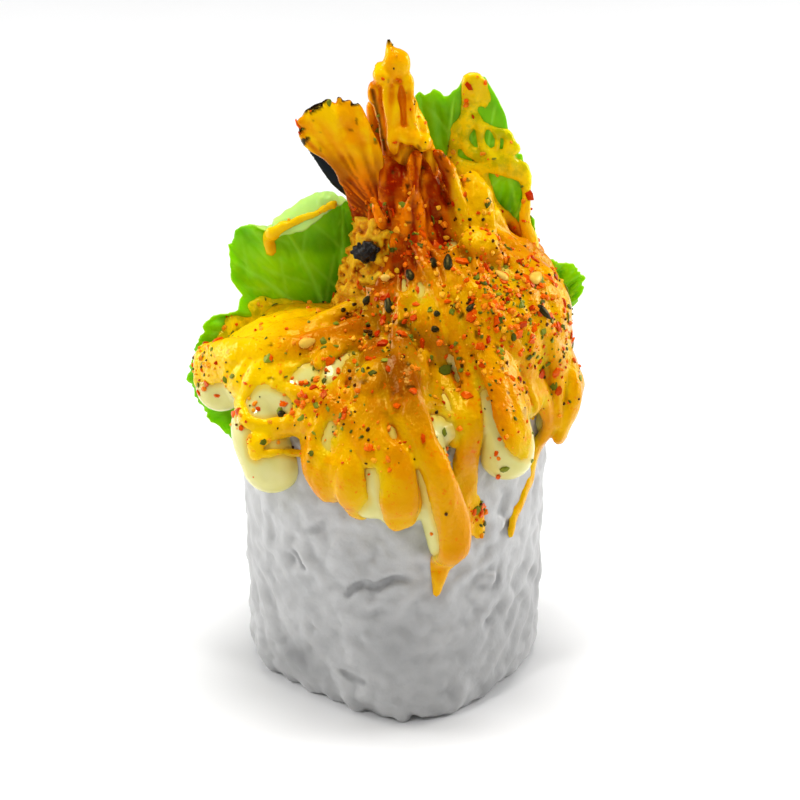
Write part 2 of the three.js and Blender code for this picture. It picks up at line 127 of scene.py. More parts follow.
class Field:
    """Signed distances in millimetres on a regular grid, below 0 inside."""

    def __init__(self, low, high, voxel=VOXEL):
        self.low = np.array(low, float)
        self.voxel = voxel
        counts = np.ceil((np.array(high) - self.low) / voxel).astype(int) + 1
        self.values = np.full(tuple(counts), FAR, np.float32)
        self.axes = [(a + voxel * np.arange(n)).astype(np.float32) for a, n in zip(self.low, counts)]

    def like(self, values):
        made = copy.copy(self)
        made.values = values.astype(np.float32)
        return made

    def block(self, low, high):
        """Slices of the grid between two corners, and their x, y and z."""
        cut = []
        for k, axis in enumerate(self.axes):
            a = math.floor((low[k] - self.low[k]) / self.voxel)
            b = math.ceil((high[k] - self.low[k]) / self.voxel) + 1
            cut.append(slice(*np.clip((a, b), 0, len(axis))))
        return tuple(cut), *np.ix_(*(axis[c] for axis, c in zip(self.axes, cut)))

    def whole(self):
        return np.ix_(*self.axes)

    def near(self, reach):
        """Which cells lie near the surface, and their places."""
        cells = np.abs(self.values) < reach
        return cells, np.stack(np.meshgrid(*self.axes, indexing="ij"), -1)[cells]

    def join(self, cut, d, blend):
        v = self.values[cut]
        if blend:
            h = np.clip(0.5 + 0.5 * (v - d) / blend, 0, 1)
            self.values[cut] = v + (d - v) * h - blend * h * (1 - h)
        else:
            self.values[cut] = np.minimum(v, d)

    def ball(self, centre, radii, blend=0.0):
        c, r = np.array(centre, float), np.array(radii, float)
        span = r + 2 + blend
        cut, x, y, z = self.block(c - span, c + span)
        x, y, z = x - c[0], y - c[1], z - c[2]
        k0 = np.sqrt((x / r[0]) ** 2 + (y / r[1]) ** 2 + (z / r[2]) ** 2)
        k1 = np.sqrt((x / r[0] ** 2) ** 2 + (y / r[1] ** 2) ** 2 + (z / r[2] ** 2) ** 2)
        self.join(cut, k0 * (k0 - 1) / np.maximum(k1, 1e-6), blend)

    def rope_distance(self, points, radii, margin, flat=1.0, facing=None, per=6):
        line = smooth_line(points, per)
        rad = np.interp(np.linspace(0, 1, len(line)), np.linspace(0, 1, len(radii)), radii)
        span = rad.max() + margin
        cut, x, y, z = self.block(line.min(0) - span, line.max(0) + span)
        best = np.full(self.values[cut].shape, 1e3, np.float32)
        for a, b, ra, rb in zip(line, line[1:], rad, rad[1:]):
            ab = b - a
            px, py, pz = x - np.float32(a[0]), y - np.float32(a[1]), z - np.float32(a[2])
            t = np.clip((px * ab[0] + py * ab[1] + pz * ab[2]) / max(ab @ ab, 1e-9), 0, 1)
            px, py, pz = px - t * ab[0], py - t * ab[1], pz - t * ab[2]
            square = px * px + py * py + pz * pz
            if flat != 1.0:
                n = unit((a + b) / 2 * (1, 1, 0) if facing is None else np.array(facing, float))
                n = unit(n - ab * ((n @ ab) / max(ab @ ab, 1e-9)))
                deep = px * n[0] + py * n[1] + pz * n[2]
                square = square + deep * deep * (1 / flat**2 - 1)
            best = np.minimum(best, np.sqrt(square) - (ra + (rb - ra) * t))
        return cut, best

    def rope(self, points, radii, blend=0.0, flat=1.0, facing=None, per=6):
        """A strand along a smooth curve. flat is its depth over its width, with its depth along facing."""
        self.join(*self.rope_distance(points, radii, 1.5 + blend, flat, facing, per), blend)

    def sheet(self, points, radii, flat, blend=0.0):
        """A flat strand that faces the front."""
        self.rope(points, radii, blend, flat, (0, 1, 0))

    def groove(self, points, radii, blend=0.4):
        """A strand taken away."""
        cut, best = self.rope_distance(points, radii, 1.5 + blend)
        v = self.values[cut]
        h = np.clip(0.5 - 0.5 * (v + best) / blend, 0, 1)
        self.values[cut] = v + (-best - v) * h + blend * h * (1 - h)

    def at(self, points):
        """The distance at (n, 3) points, in between the grid's."""
        q = np.clip((points - self.low) / self.voxel, 0, np.array(self.values.shape) - 1.001)
        i = q.astype(int)
        return sum(w * self.values[tuple((i + step).T)] for step, w in corners(q - i))

    def cavity(self, points, normals, reach):
        """How deep in a groove each point of the surface lies, from 0 to 1."""
        return np.clip(1 - self.at(points + normals * reach) / reach, 0, 1)

    def mesh(self):
        """Points, quads and normals of the surface."""
        grid = openvdb.FloatGrid(FAR)
        grid.copyFromArray(self.values)
        points, quads = grid.convertToQuads(0.0)
        points = points * self.voxel + self.low
        a, b, c, d = (points[quads[:, k]] for k in range(4))
        across = np.cross(c - a, d - b)
        total = np.zeros_like(points)
        for k in range(4):
            np.add.at(total, quads[:, k], across)
        return points, quads, unit(total)


# ---- Meshes ----


def piece(name, points, faces, material, node, attributes=None, slot=None, smooth=True):
    """A mesh from millimetre points that stands for a node of the part."""
    mesh = bpy.data.meshes.new(name)
    count, sides = faces.shape
    mesh.vertices.add(len(points))
    mesh.vertices.foreach_set("co", (points * MM).astype(np.float32).ravel())
    mesh.loops.add(count * sides)
    mesh.loops.foreach_set("vertex_index", faces.astype(np.int32).ravel())
    mesh.polygons.add(count)
    mesh.polygons.foreach_set("loop_start", np.arange(0, count * sides, sides, dtype=np.int32))
    mesh.update(calc_edges=True)
    mesh.validate()
    for key, values in (attributes or {}).items():
        layer = mesh.attributes.new(key, "FLOAT", "POINT")
        layer.data.foreach_set("value", np.clip(values, 0, 1).astype(np.float32))
    mesh.polygons.foreach_set("use_smooth", np.full(len(mesh.polygons), smooth))
    mesh.materials.append(material)
    made = bpy.data.objects.new(name, mesh)
    bpy.context.scene.collection.objects.link(made)
    slot = slot or node
    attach(made, "root")
    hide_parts(node)
    print("piece", name, count * (sides - 2), "triangles")
    return made


def tree_of(objects):
    """A tree for rays, and the points and triangles of several pieces, in millimetres."""
    points, triangles = [], []
    for mesh in (made.data for made in objects):
        mesh.calc_loop_triangles()
        co = np.empty(len(mesh.vertices) * 3, np.float32)
        mesh.vertices.foreach_get("co", co)
        tri = np.empty(len(mesh.loop_triangles) * 3, np.int32)
        mesh.loop_triangles.foreach_get("vertices", tri)
        triangles.append(tri.reshape(-1, 3) + sum(map(len, points)))
        points.append(co.reshape(-1, 3) / MM)
    points, triangles = np.vstack(points), np.vstack(triangles)
    return BVHTree.FromPolygons(points.tolist(), triangles.tolist()), points, triangles


# ---- Materials ----


def srgb(r, g, b):
    """The linear colour of an 8-bit one."""
    return tuple(c / 255 / 12.92 if c < 10.3 else ((c / 255 + 0.055) / 1.055) ** 2.4 for c in (r, g, b))


class Nodes:
    """A material's node tree, built by short calls. A share is an attribute's name, the numbers of
    patches(), or a socket."""

    def __init__(self, name, *relief):
        self.material = bpy.data.materials.new(name)
        self.material.use_nodes = True
        self.tree = self.material.node_tree
        self.bsdf = self.tree.nodes["Principled BSDF"]
        if relief:
            self.bump(*relief)

    def put(self, values, node):
        """Sets inputs of a node, or links those whose value is a socket."""
        for key, value in values.items():
            if isinstance(value, bpy.types.NodeSocket):
                self.tree.links.new(value, node.inputs[key])
            else:
                node.inputs[key].default_value = value

    def node(self, kind, values, **settings):
        made = self.tree.nodes.new(kind)
        for key, value in settings.items():
            setattr(made, key, value)
        self.put(values, made)
        return made

    def noise(self, scale, detail, rough=0.5):
        """Noise with bumps of about that scale in millimetres."""
        place = self.node("ShaderNodeTexCoord", {}).outputs["Object"]
        values = {"Vector": place, "Scale": 1 / (scale * MM), "Detail": detail, "Roughness": rough}
        return self.node("ShaderNodeTexNoise", values).outputs["Fac"]

    def ramp(self, value, stops):
        made = self.node("ShaderNodeValToRGB", {"Fac": value})
        marks = made.color_ramp.elements
        while len(marks) < len(stops):
            marks.new(0.5)
        for mark, (place, colour) in zip(marks, stops):
            mark.position = place
            mark.color = (*colour, 1)
        return made.outputs["Color"]

    def patches(self, scale, low, high, most, detail=5, rough=0.62):
        """A share that rises to most where noise rises from low to high."""
        return self.ramp(self.noise(scale, detail, rough), [(low, (0, 0, 0)), (high, (most, most, most))])

    def share(self, source):
        if isinstance(source, str):
            return self.node("ShaderNodeAttribute", {}, attribute_name=source).outputs["Fac"]
        return self.patches(*source) if isinstance(source, tuple) else source

    def tones(self, share, stops):
        """A colour that goes through 8-bit ones."""
        return self.ramp(self.share(share), [(place, srgb(*colour)) for place, colour in stops])

    def mix(self, share, first, second):
        first, second = ((*c, 1) if isinstance(c, tuple) else c for c in (first, second))
        values = {"Factor": self.share(share), "A": first, "B": second}
        return self.node("ShaderNodeMix", values, data_type="RGBA").outputs["Result"]

    def over(self, colour, *layers):
        """8-bit colours or sockets laid over a first one, each by its share."""
        for share, top in layers:
            colour, top = (srgb(*c) if isinstance(c, tuple) else c for c in (colour, top))
            colour = self.mix(share, colour, top)
        return colour

    def bump(self, scale, detail, depth, rough=0.5):
        """Relief from noise, of that depth in millimetres."""
        values = {"Distance": depth * MM, "Strength": 1.0, "Height": self.noise(scale, detail, rough)}
        self.put({"Normal": self.node("ShaderNodeBump", values).outputs["Normal"]}, self.bsdf)

    def finish(self, colour, roughness, gloss=0.5, glow=0.0, tint=(1, 1, 1), depth=1.0, shine=(1, 1, 1)):
        """gloss is the specular level, and glow the share of light that spreads depth millimetres inside."""
        values = {"Base Color": colour, "Roughness": roughness, "Specular IOR Level": gloss}
        self.put({**values, "Specular Tint": (*shine, 1)}, self.bsdf)
        if glow:
            values = {"Subsurface Weight": glow, "Subsurface Radius": tint, "Subsurface Scale": depth * MM}
            self.put(values, self.bsdf)
        return self.material


def rice_material():
    n = Nodes("rice", 0.9, 4, 0.1)
    clumps = n.over((152, 152, 152), (n.noise(3.0, 4, 0.6), (216, 216, 215)))
    broad = n.over((164, 164, 164), (n.noise(9, 2), (204, 204, 203)))
    colour = n.over(clumps, ((1.5, 0, 1, 0.8, 2, 0.5), broad))
    # Darker grey in hollows and creases, and towards the foot: painted shade.
    colour = n.over(colour, ("hollow_shade", (120, 120, 120)), ("foot_shade", (146, 146, 146)))
    return n.finish(colour, 0.38, 0.45, 0.35, (1.0, 0.97, 0.94), 1.8)


def mayo_material():
    n = Nodes("mayonnaise", 1.6, 2, 0.06)
    colour = n.over((212, 202, 94), (n.noise(5, 2), (234, 230, 166)), ("sauce", (226, 190, 40)))
    return n.finish(colour, 0.14, 0.45, 0.25, (1.0, 0.9, 0.4), 1.5, (1, 0.95, 0.75))


SAUCE_TONES = [(0.0, (216, 190, 60)), (0.12, (222, 186, 12)), (0.26, (230, 178, 1))]
SAUCE_TONES += [(0.5, (228, 158, 1)), (0.8, (224, 140, 1)), (1.0, (216, 124, 1))]
WARM_SHINE = (1.0, 0.66, 0.06)


def sauce_material():
    n = Nodes("orange_sauce", 0.9, 4, 0.22)
    # Scorched red, orange on the raised ribs and darker between them and in grooves: painted highlight and
    # shade over the scorch.
    hot = n.over((140, 20, 1), ("streak", (244, 126, 1)), ((2.2, 0.52, 0.6, 0.7), (158, 28, 1)))
    body = n.over(
        n.tones("thick", SAUCE_TONES),
        ((3.4, 0.5, 0.66, 0.55), (226, 122, 1)),
        # Deeper orange in grooves: sauce pooling there, and painted shade.
        ("groove", (200, 96, 1)),
        ("cool", (255, 208, 3)),
        ("deep", (134, 62, 1)),
        # Bright yellow on the crests of strands: painted highlight.
        ("crest_highlight", (248, 190, 2)),
        ("scorch", hot),
        ((1.1, 0.6, 0.66, 0.6), (236, 96, 2)),
        ("char", (40, 16, 4)),
    )
    return n.finish(body, 0.1, 0.36, shine=WARM_SHINE)


def leaf_sauce_material():
    n = Nodes("sauce_on_leaf", 1.0, 4, 0.25)
    olive = n.over((196, 192, 2), ((2.4, 0.42, 0.58, 1), (255, 226, 10)))
    body = n.over((255, 212, 12), ("thick", (244, 170, 2)), ("olive", olive))
    return n.finish(body, 0.1, 0.4, 0.3, (1.0, 0.9, 0.1), 1.2, (1.0, 0.85, 0.2))


def crust_material():
    n = Nodes("crumb", 0.45, 5, 0.4, 0.7)
    # Yellow on the crumbs, through to brown deep in the hollows between them: painted shade.
    tones = [(0.0, (255, 196, 30)), (0.3, (236, 150, 4)), (0.65, (186, 84, 2)), (1.0, (104, 34, 2))]
    colour = n.over(
        n.tones("hollow_shade", tones),
        ((1.8, 0.48, 0.62, 0.6), (202, 104, 2)),
        ((0.8, 0.54, 0.62, 0.6), (255, 208, 50)),
        ("flesh", (240, 200, 176)),
    )
    return n.finish(colour, 0.35, 0.25, shine=WARM_SHINE)


def tail_material():
    n = Nodes("tail", 0.9, 4, 0.18)
    colour = n.over(
        (248, 166, 1),
        # Yellow along the raised ribs, partly at random: painted highlight.
        ("streak", (255, 200, 4)),
        # Deeper orange in hollows: painted shade.
        ("hollow_shade", (220, 108, 1)),
        ((5, 0.5, 0.66, 0.6), (240, 138, 1)),
        ("scorch", n.over((132, 18, 1), ("streak", (238, 112, 1)))),
        ("char", (22, 8, 3)),
    )
    return n.finish(colour, 0.11, 0.36, shine=WARM_SHINE)


def dark_material(name, low, high, scale, relief, gloss):
    """Two dark colours in noise of that scale, and the numbers of bump()."""
    n = Nodes(name, *relief)
    return n.finish(n.over(low, (n.noise(scale, 3), high)), 0.3, gloss)


def leaf_material():
    n = Nodes("lettuce", 1.1, 4, 0.12)
    greens = [(0.3, (96, 168, 1)), (0.5, (128, 202, 2)), (0.72, (160, 222, 8))]
    colour = n.over(
        n.tones(n.noise(8, 4), greens),
        ("shade", (48, 118, 1)),
        ("vein", (170, 228, 66)),
        ("pale", (204, 236, 140)),
    )
    return n.finish(colour, 0.32, 0.35, 0.6, (0.7, 1.0, 0.1), 1.6, (0.7, 1.0, 0.3))


def bit_material(name, low, high, roughness):
    """Flakes and seeds: each has a tone of its own between two colours."""
    n = Nodes(name, 0.5, 3, 0.08)
    low, high = srgb(*low), srgb(*high)
    colour = n.mix((0.7, 0, 1, 0.5, 3, 0.5), n.mix("tone", low, high), tuple(0.6 * c for c in low))
    return n.finish(colour, roughness, 0.35, shine=WARM_SHINE)


# ---- Rice ----


def press(angle, z):
    """The share by which the roll's radius changes where it was pressed."""
    change = sum(by * np.exp(-((((angle - a + 180) % 360 - 180) / half) ** 2)) for a, half, by in PRESSED)
    return 1 + np.clip(1 - z / ROLL_HEIGHT, 0, 1) ** 2 * change


def core_distance(x, y, z):
    """Distance from the pressed rice under its grains."""
    r = np.hypot(x, y) / press(np.degrees(np.arctan2(x, -y)), z)
    out = r - (ROLL_RADIUS - GRAIN_SINK) + CORNER
    up = np.abs(z - ROLL_HEIGHT / 2) - ROLL_HEIGHT / 2 + CORNER
    return np.minimum(np.maximum(out, up), 0) + np.hypot(np.maximum(out, 0), np.maximum(up, 0)) - CORNER


def body_radius(z):
    return np.interp(z, *zip(*BODY_PROFILE))


# Creases between clumps of grains: angle and height along each.
CREASES = [
    [(-18, 24.3), (-15, 26.1), (-10, 27.1), (-7, 26.6), (0, 28.5), (6, 28.1)],
    [(-36, 34.4), (-30, 35.7), (-27, 37.1), (-25, 38.8)], [(-41, 29.7), (-37, 27.5)],
    [(8, 23.9), (9, 21.4)], [(-22, 8.5), (-17, 7.6), (-12, 7.5)], [(45, 6), (51, 6)],
    [(45, 27.7), (42, 23.3)],
]


def make_rice():
    rng = np.random.default_rng(3)
    field = Field((-30, -30, -1.5), (30, 30, 54))
    x, y, z = field.whole()
    field.values = np.clip(core_distance(x, y, z) + 0.25, -4, 6).astype(np.float32)
    near, p = field.near(2.5)
    field.values[near] += (0.5 * noise(p, 9, 4) + 0.2 * noise(p, 3.2, 5)).astype(np.float32)
    count = 1080
    for i in range(count):
        height = (i + 0.5) / count * (ROLL_HEIGHT + 1) - 0.5
        angle = i * GOLDEN_ANGLE + rng.normal(0, 4)
        under = max(0.0, 1 - height / CORNER)
        reach = ROLL_RADIUS - GRAIN_SINK - CORNER * (1 - math.sqrt(max(0.0, 1 - under**2)))
        reach += -1.15 + rng.normal(0, 0.2)
        centre = around(angle, reach * press(angle, max(height, 0.0)), height)
        out = unit(around(angle, 1, -under))
        side = unit(np.cross((0, 0, 1), out))
        turn = rng.uniform(0, math.pi)
        along = math.cos(turn) * side + math.sin(turn) * np.cross(out, side)
        along = unit(along + rng.normal(0, 0.12) * out)
        size = rng.uniform(0.85, 1.12)
        half = along * (3.0 * size - 1.3)
        middle = centre + np.cross(out, along) * rng.normal(0, 0.3)
        radii = [1.1 * size, 1.4 * size, 1.05 * size]
        field.rope([centre - half, middle, centre + half], radii, blend=1.1, per=2)
    for crease in CREASES:
        field.groove([around(a, 26.1 * press(a, h), h) for a, h in crease], [0.5, 0.9, 0.5])
    bore = body_radius(z) + 0.25 - np.hypot(x + BODY_LEAN * (z > ROLL_HEIGHT - 1), y)
    field.values = np.maximum(np.maximum(field.values, bore), 0.05 - z).astype(np.float32)
    points, quads, normals = field.mesh()
    z = points[:, 2]
    # Darker in the hollows and creases: painted shade.
    hollow_shade = ramp(field.cavity(points, normals, 1.0), 0.02, 0.55) * (z > 0.6) * 0.65
    # Darker towards the foot, in patches: painted shade.
    foot_shade = (1 - ramp(z, 2, 34)) * np.clip(0.55 + 0.6 * noise(points, 8, 6), 0, 1)
    return piece("rice_grains", points, quads, rice_material(), "rice", {"hollow_shade": hollow_shade, "foot_shade": foot_shade})


# ---- Mayonnaise ----

# Lobes over the rice's rim: [angle, reach, height] along each, and its radius along it.
FRONT_LOBES = {
    "left_drip": ([(-57, 23, 58), (-53, 27.3, 52), (-48, 27, 46)], (4.5, 5, 5)),
    "left_arm": ([(-63, 17, 59), (-77, 26, 57), (-80, 29.5, 54)], (4.5, 4.5, 4.3)),
    "left_fall": ([(-30, 21, 60), (-23, 26.5, 51), (-20, 26.6, 46)], (3.2, 3, 2.6)),
    "middle_left": ([(-35, 19, 61), (-15, 26.5, 50), (-8, 27, 44)], (3.8, 3.6, 3.4)),
    "middle": ([(-10, 19, 60), (-3, 27, 50), (2, 27, 43)], (4, 4, 4)),
    "longest": ([(5, 18, 62), (10, 26.5, 52), (16, 27, 42), (19, 26.8, 35)], (3.8, 3.8, 3.2)),
    "right_drip": ([(45, 21, 62), (42, 27, 52), (42.5, 27.2, 49)], (4.6, 4.6, 4.6)),
    "right_side": ([(75, 24.5, 62), (78, 27.6, 54), (76, 27.4, 49)], (4, 4, 3.6)),
}
BACK_ANGLES = (107, 143, 179, 215, 251)
TOPPING_BOX = ((-39, -37, 24), (38, 36, 113))


def back_drips(seed):
    """Angle, foot and lean of each drip at the back."""
    rng = np.random.default_rng(seed)
    for angle in BACK_ANGLES:
        yield angle, ROLL_HEIGHT - rng.uniform(7, 14), rng.uniform(-6, 8)


def mayo_field():
    field = Field(*TOPPING_BOX)
    for centre, radii in MOUNDS:
        field.ball(centre, radii, blend=2.0)
    lobes = [*FRONT_LOBES.values()]
    for angle, end, lean in back_drips(11):
        stations = [(angle, 19, 61), (angle + lean / 2, 26.3, 53), (angle + lean, 27, end + 4)]
        lobes.append((stations, (4.4, 4.4, 4.4)))
    for stations, radii in lobes:
        field.rope([around(*s) for s in stations], radii, blend=1.0)
    return field


def body_distance(field):
    x, y, z = field.whole()
    side = np.hypot(x + BODY_LEAN * (z > ROLL_HEIGHT), y) - body_radius(z)
    return np.maximum(side, z - BODY_TOP)


def make_mayo(mayo, sauce):
    values = np.maximum(mayo.values, -(core_distance(*mayo.whole()) + 0.3))
    points, quads, _ = mayo.like(np.maximum(values, -(body_distance(mayo) + 0.3))).mesh()
    values = {"sauce": ramp(-sauce.at(points), -1.0, 0.1) * 0.8}
    return piece("mayonnaise_lobes", points, quads, mayo_material(), "mayonnaise", values)


# ---- Orange sauce ----

# Strands on the topping: [angle, height] along each, its radius along it and, of a thin one, its
# depth over its width.
STRANDS = {
    "left_arm": ([(-25, 66), (-47, 64.5), (-66, 62), (-80, 58)], (2.6, 3.2, 3.8)),
    "left_arm_back": ([(-49, 65), (-60, 64.6), (-72, 62)], (1.6, 1.8, 1.8)),
    "left_brow": ([(-34, 72), (-46, 69.4), (-58, 65.6)], (1.1, 1.3, 1.2)),
    "left_shoulder": (
        [(-25, 64.5), (-39, 65.2), (-47, 64.2), (-54, 61.3), (-57, 56)],
        (1.8, 1.8, 2, 1.8, 1.3),
    ),
    "left_loop": (
        [(-57, 56), (-50, 54.6), (-44, 53.7), (-35, 55.7), (-24, 58.1), (-18, 59.4)],
        (1.5, 1.5, 1.7, 2),
    ),
    "left_finger": ([(-46, 49.8), (-46, 52), (-42, 53.2), (-31, 55.3)], (1.6, 1.7, 1.8)),
    "left_string": ([(-43, 49.8), (-36, 48.9), (-28, 50), (-20, 50.2)], (0.9, 1.1, 1.5)),
    "left_bridge": ([(-26, 56.5), (-26.5, 53), (-21, 50)], (1.5, 1.5, 1.8)),
    "left_fall": ([(-30, 52.5), (-25, 49.5), (-21, 45.5), (-19, 42.2)], (2.2, 3, 2.8, 1.8), 0.4),
    "left_fall_edge": ([(-26, 51), (-27, 47), (-25, 44)], (1.6, 1.4, 0.8)),
    "between_falls": ([(-17, 55), (-14, 50), (-12.5, 45.5), (-12, 41.6)], (2, 2.7, 2.7, 1.8), 0.4),
    "falls_ridge": ([(-20, 54), (-18, 49), (-17, 44), (-17, 41.6)], (0.8, 1, 0.9, 0.8)),
    "brow_to_middle": ([(-39, 59.7), (-25, 58.8), (-16, 56.7), (-8, 53)], (1.5, 2, 2.2, 2.4)),
    "middle_fall": (
        [(-12, 62), (-8, 56), (0, 51.5), (1.5, 46), (1.5, 42.4)],
        (2.2, 2.6, 3, 3.2, 2.6), 0.45,
    ),
    "middle_fall_edge": ([(0, 54), (5, 49), (6.5, 44.5), (5, 42)], (1.3, 1.4, 1.3, 0.9)),
    "centre_left": ([(-3, 76.7), (-12, 71), (-15, 66), (-10, 62)], (1.6, 2, 2.2, 2.2)),
    "centre": ([(10, 72), (6, 68), (5, 63), (7, 59), (9, 56)], (1.6, 2.1, 2.3, 2.1)),
    "longest_left": (
        [(6, 61), (9, 56), (13, 50), (17, 43), (19, 38), (18.6, 34.5), (17.4, 31.5), (16.4, 28.5),
         (15.6, 25.6)],
        (1.8, 2.1, 2.6, 2.9, 2.8, 2.4, 2, 1.5, 0.8),
    ),
    "longest_right": (
        [(48, 79), (32, 74), (32, 68.5), (33, 61), (28, 55), (27, 46), (27, 38), (24, 32.5), (19, 30)],
        (1.5, 1.7, 1.8, 1.9, 2, 2.4, 2.2, 1.5, 0.9),
    ),
    "inner_ridge": ([(30, 80), (20, 75), (17, 69), (20, 64), (16, 59)], (1.1, 1.3, 1.4, 1.5, 1.2)),
    "over_right_drip": (
        [(81, 80), (47, 77), (42, 71.5), (43, 66), (42, 61), (40, 57), (39.5, 53.5), (41, 50.6)],
        (1.6, 1.9, 2.1, 3.2, 3.8, 3.4, 2.6, 1.3), 0.36,
    ),
    "right_drip_streak": ([(43, 57), (44, 52.5), (43.5, 49.5)], (1.2, 0.9, 0.6)),
    "right_drip_edge": ([(49, 60), (52, 55), (52, 50.5)], (1.2, 1, 0.7)),
    "centre_right": ([(24, 71), (24, 66), (26, 62), (24, 57), (22, 53)], (1.2, 1.5, 1.6, 1.4, 1.2)),
    "centre_long": ([(-3, 70), (0, 66), (1, 61), (3, 57), (6, 52)], (1.3, 1.6, 1.7, 1.5, 1.2)),
    "left_centre": ([(-22, 69), (-26, 65), (-24, 61), (-18, 58)], (1.3, 1.5, 1.5, 1.3)),
    "right_outer": ([(58, 70), (60, 65), (57, 60), (58, 55), (56, 51)], (1.4, 1.8, 1.9, 1.7, 1.2)),
    "right_ridge": (
        [(90, 85), (80, 80), (56, 76.4), (50, 72), (53, 66.5), (61, 59), (67, 51)],
        (1.7, 1.9, 2, 2.1, 2),
    ),
    "right_trickle": (
        [(62, 58), (69, 50), (69, 43.5), (61, 39), (54, 36), (50, 32)],
        (2.2, 2, 1.7, 1.4, 0.8),
    ),
    "right_inner": ([(76, 77), (66, 72), (69, 65), (71, 57), (70, 50)], (1.6, 2, 2, 1.9, 1.6)),
    "right_contour": (
        [(92, 86), (89, 80), (83, 74), (86, 68), (82, 61), (76, 54.5), (72, 47)],
        (1.8, 2, 2.2, 2.6, 2.6, 2),
    ),
    "right_edge": ([(98, 72), (94, 62), (90, 54), (84, 49)], (2.2, 2.6, 2.6, 2)),
    "drip_tag": ([(30, 43), (33, 39), (33, 35)], (1.2, 1.6, 1.2)),
}
# The sauce round the joint of the tail: its middle, its radius and how softly it joins the rest.
NECK = [
    ([(4, 0.5, 75), (2.6, 0, 81), (0.6, -0.4, 87.5), (-1, -0.6, 90.5)], (6.6, 5.2, 3.7, 2.4), 2),
    ([(5.5, 1, 78), (5, 1, 86), (4.4, 1, 91)], (4.4, 3.6, 2.2), 1.5),
    (
        [(12.2, -3.6, 79.5), (11, -2.6, 84.4), (9.4, -1.6, 89.4), (7.2, -1.2, 93.6)],
        (1.9, 1.5, 1.3, 0.9), 0.5,
    ),
    ([(14.2, -2.2, 82.2), (13.7, -0.6, 86), (12.6, 0.6, 88.6)], (2.3, 2.4, 1.6), 0.5),
    ([(12.6, -6, 80.4), (14.6, -6.4, 79.4), (16, -6, 77.6)], (2.2, 2.8, 2.4), 0.7),
    ([(3.4, -1.6, 93.6), (3.2, -2.8, 90.6), (3.6, -4, 87.6)], (0.9, 0.9, 0.7), 0.3),
]
# Strands that run down over it: [angle, height] along each, and its radius along it.
COLLAR = [
    ([(-50, 87), (-46, 82), (-34, 78.5)], (0.2, 0.7, 0.6)),
    ([(-33, 87.5), (-20, 84), (-9, 81), (3, 77)], (0.4, 0.7, 0.8, 0.5)),
    ([(-12, 87), (-2, 83.5), (6, 79), (9, 76)], (0.3, 0.6, 0.7, 0.5)),
    ([(34, 89.5), (30, 85), (31, 81), (28, 76.5)], (0.4, 1, 1.3, 1)),
    ([(52, 88), (48, 84), (44, 80), (45, 75)], (0.4, 0.7, 0.8, 0.8)),
    ([(80, 84), (76, 79), (80, 74)], (0.6, 1.1, 1.1)), ([(105, 90), (108, 82), (104, 74)], (0.8, 1.2, 1.4)),
    ([(140, 90), (150, 82), (142, 74)], (0.8, 1.2, 1.4)),
    ([(175, 90), (182, 82), (176, 74)], (0.8, 1.2, 1.4)),
    ([(215, 90), (222, 82), (214, 74)], (0.8, 1.1, 1.2)), ([(250, 90), (256, 84), (252, 78)], (0.7, 1, 1)),
]
# Where mayonnaise shows through: angle, height, half width in degrees and half height.
BARE = [
    (91, 85.3, 7, 1.6), (70, 78, 7, 2), (28, 72.2, 5, 2.6), (11, 74.6, 8, 2.4), (24, 60.6, 5, 3),
    (-38, 62.3, 4, 1.3), (-45, 57.5, 6, 1.9), (-29, 63.3, 3.5, 1.3), (-19, 54.4, 5, 1.8), (2, 53.5, 4, 4.5),
    (33, 53, 4, 5),
]


def skin(surface, angle, height):
    """How far out a field's surface is at an angle and a height."""
    reach = np.arange(38, 4, -0.25)
    inside = np.nonzero(surface.at(np.array([around(angle, r, height) for r in reach])) < 0)[0]
    return reach[inside[0]] if len(inside) else 6.0


def on_skin(surface, stations, lifts):
    return [around(a, skin(surface, a, h) + lift, h) for (a, h), lift in zip(stations, lifts)]


def down(a, out, z):
    """Where noise is read for streaks that run down, at angles a in radians."""
    return np.stack([out * np.sin(a), out * np.cos(a), z], 1)


def coat(points):
    """Thickness of the sauce that covers the mounds in streaks that run down from the tail."""
    a = np.arctan2(points[:, 0] - 1, -points[:, 1])
    z = points[:, 2]
    streak = down(a, 9, z / 11)
    thick = 0.45 + 0.55 * noise(streak, 1.0, 1) + 0.35 * noise(streak, 0.45, 2) + 0.2 * noise(points, 1.8, 3)
    thick += 0.5 * ramp(z, 62, 72)
    low = 52.5 + 2.5 * noise(streak * (1, 1, 0), 1.5, 4)
    thick -= 2.2 * (1 - ramp(z, low, low + 6))
    degrees = np.degrees(a)
    for spot, height, half, tall in BARE:
        thick -= 2.2 * np.exp(-(((degrees - spot) / half) ** 2) - ((z - height) / tall) ** 2)
    crust = (degrees > -170) & (degrees < np.where(z > 73, -14, -40)) & (z > 67.6)
    thick[crust] = -1
    return thick


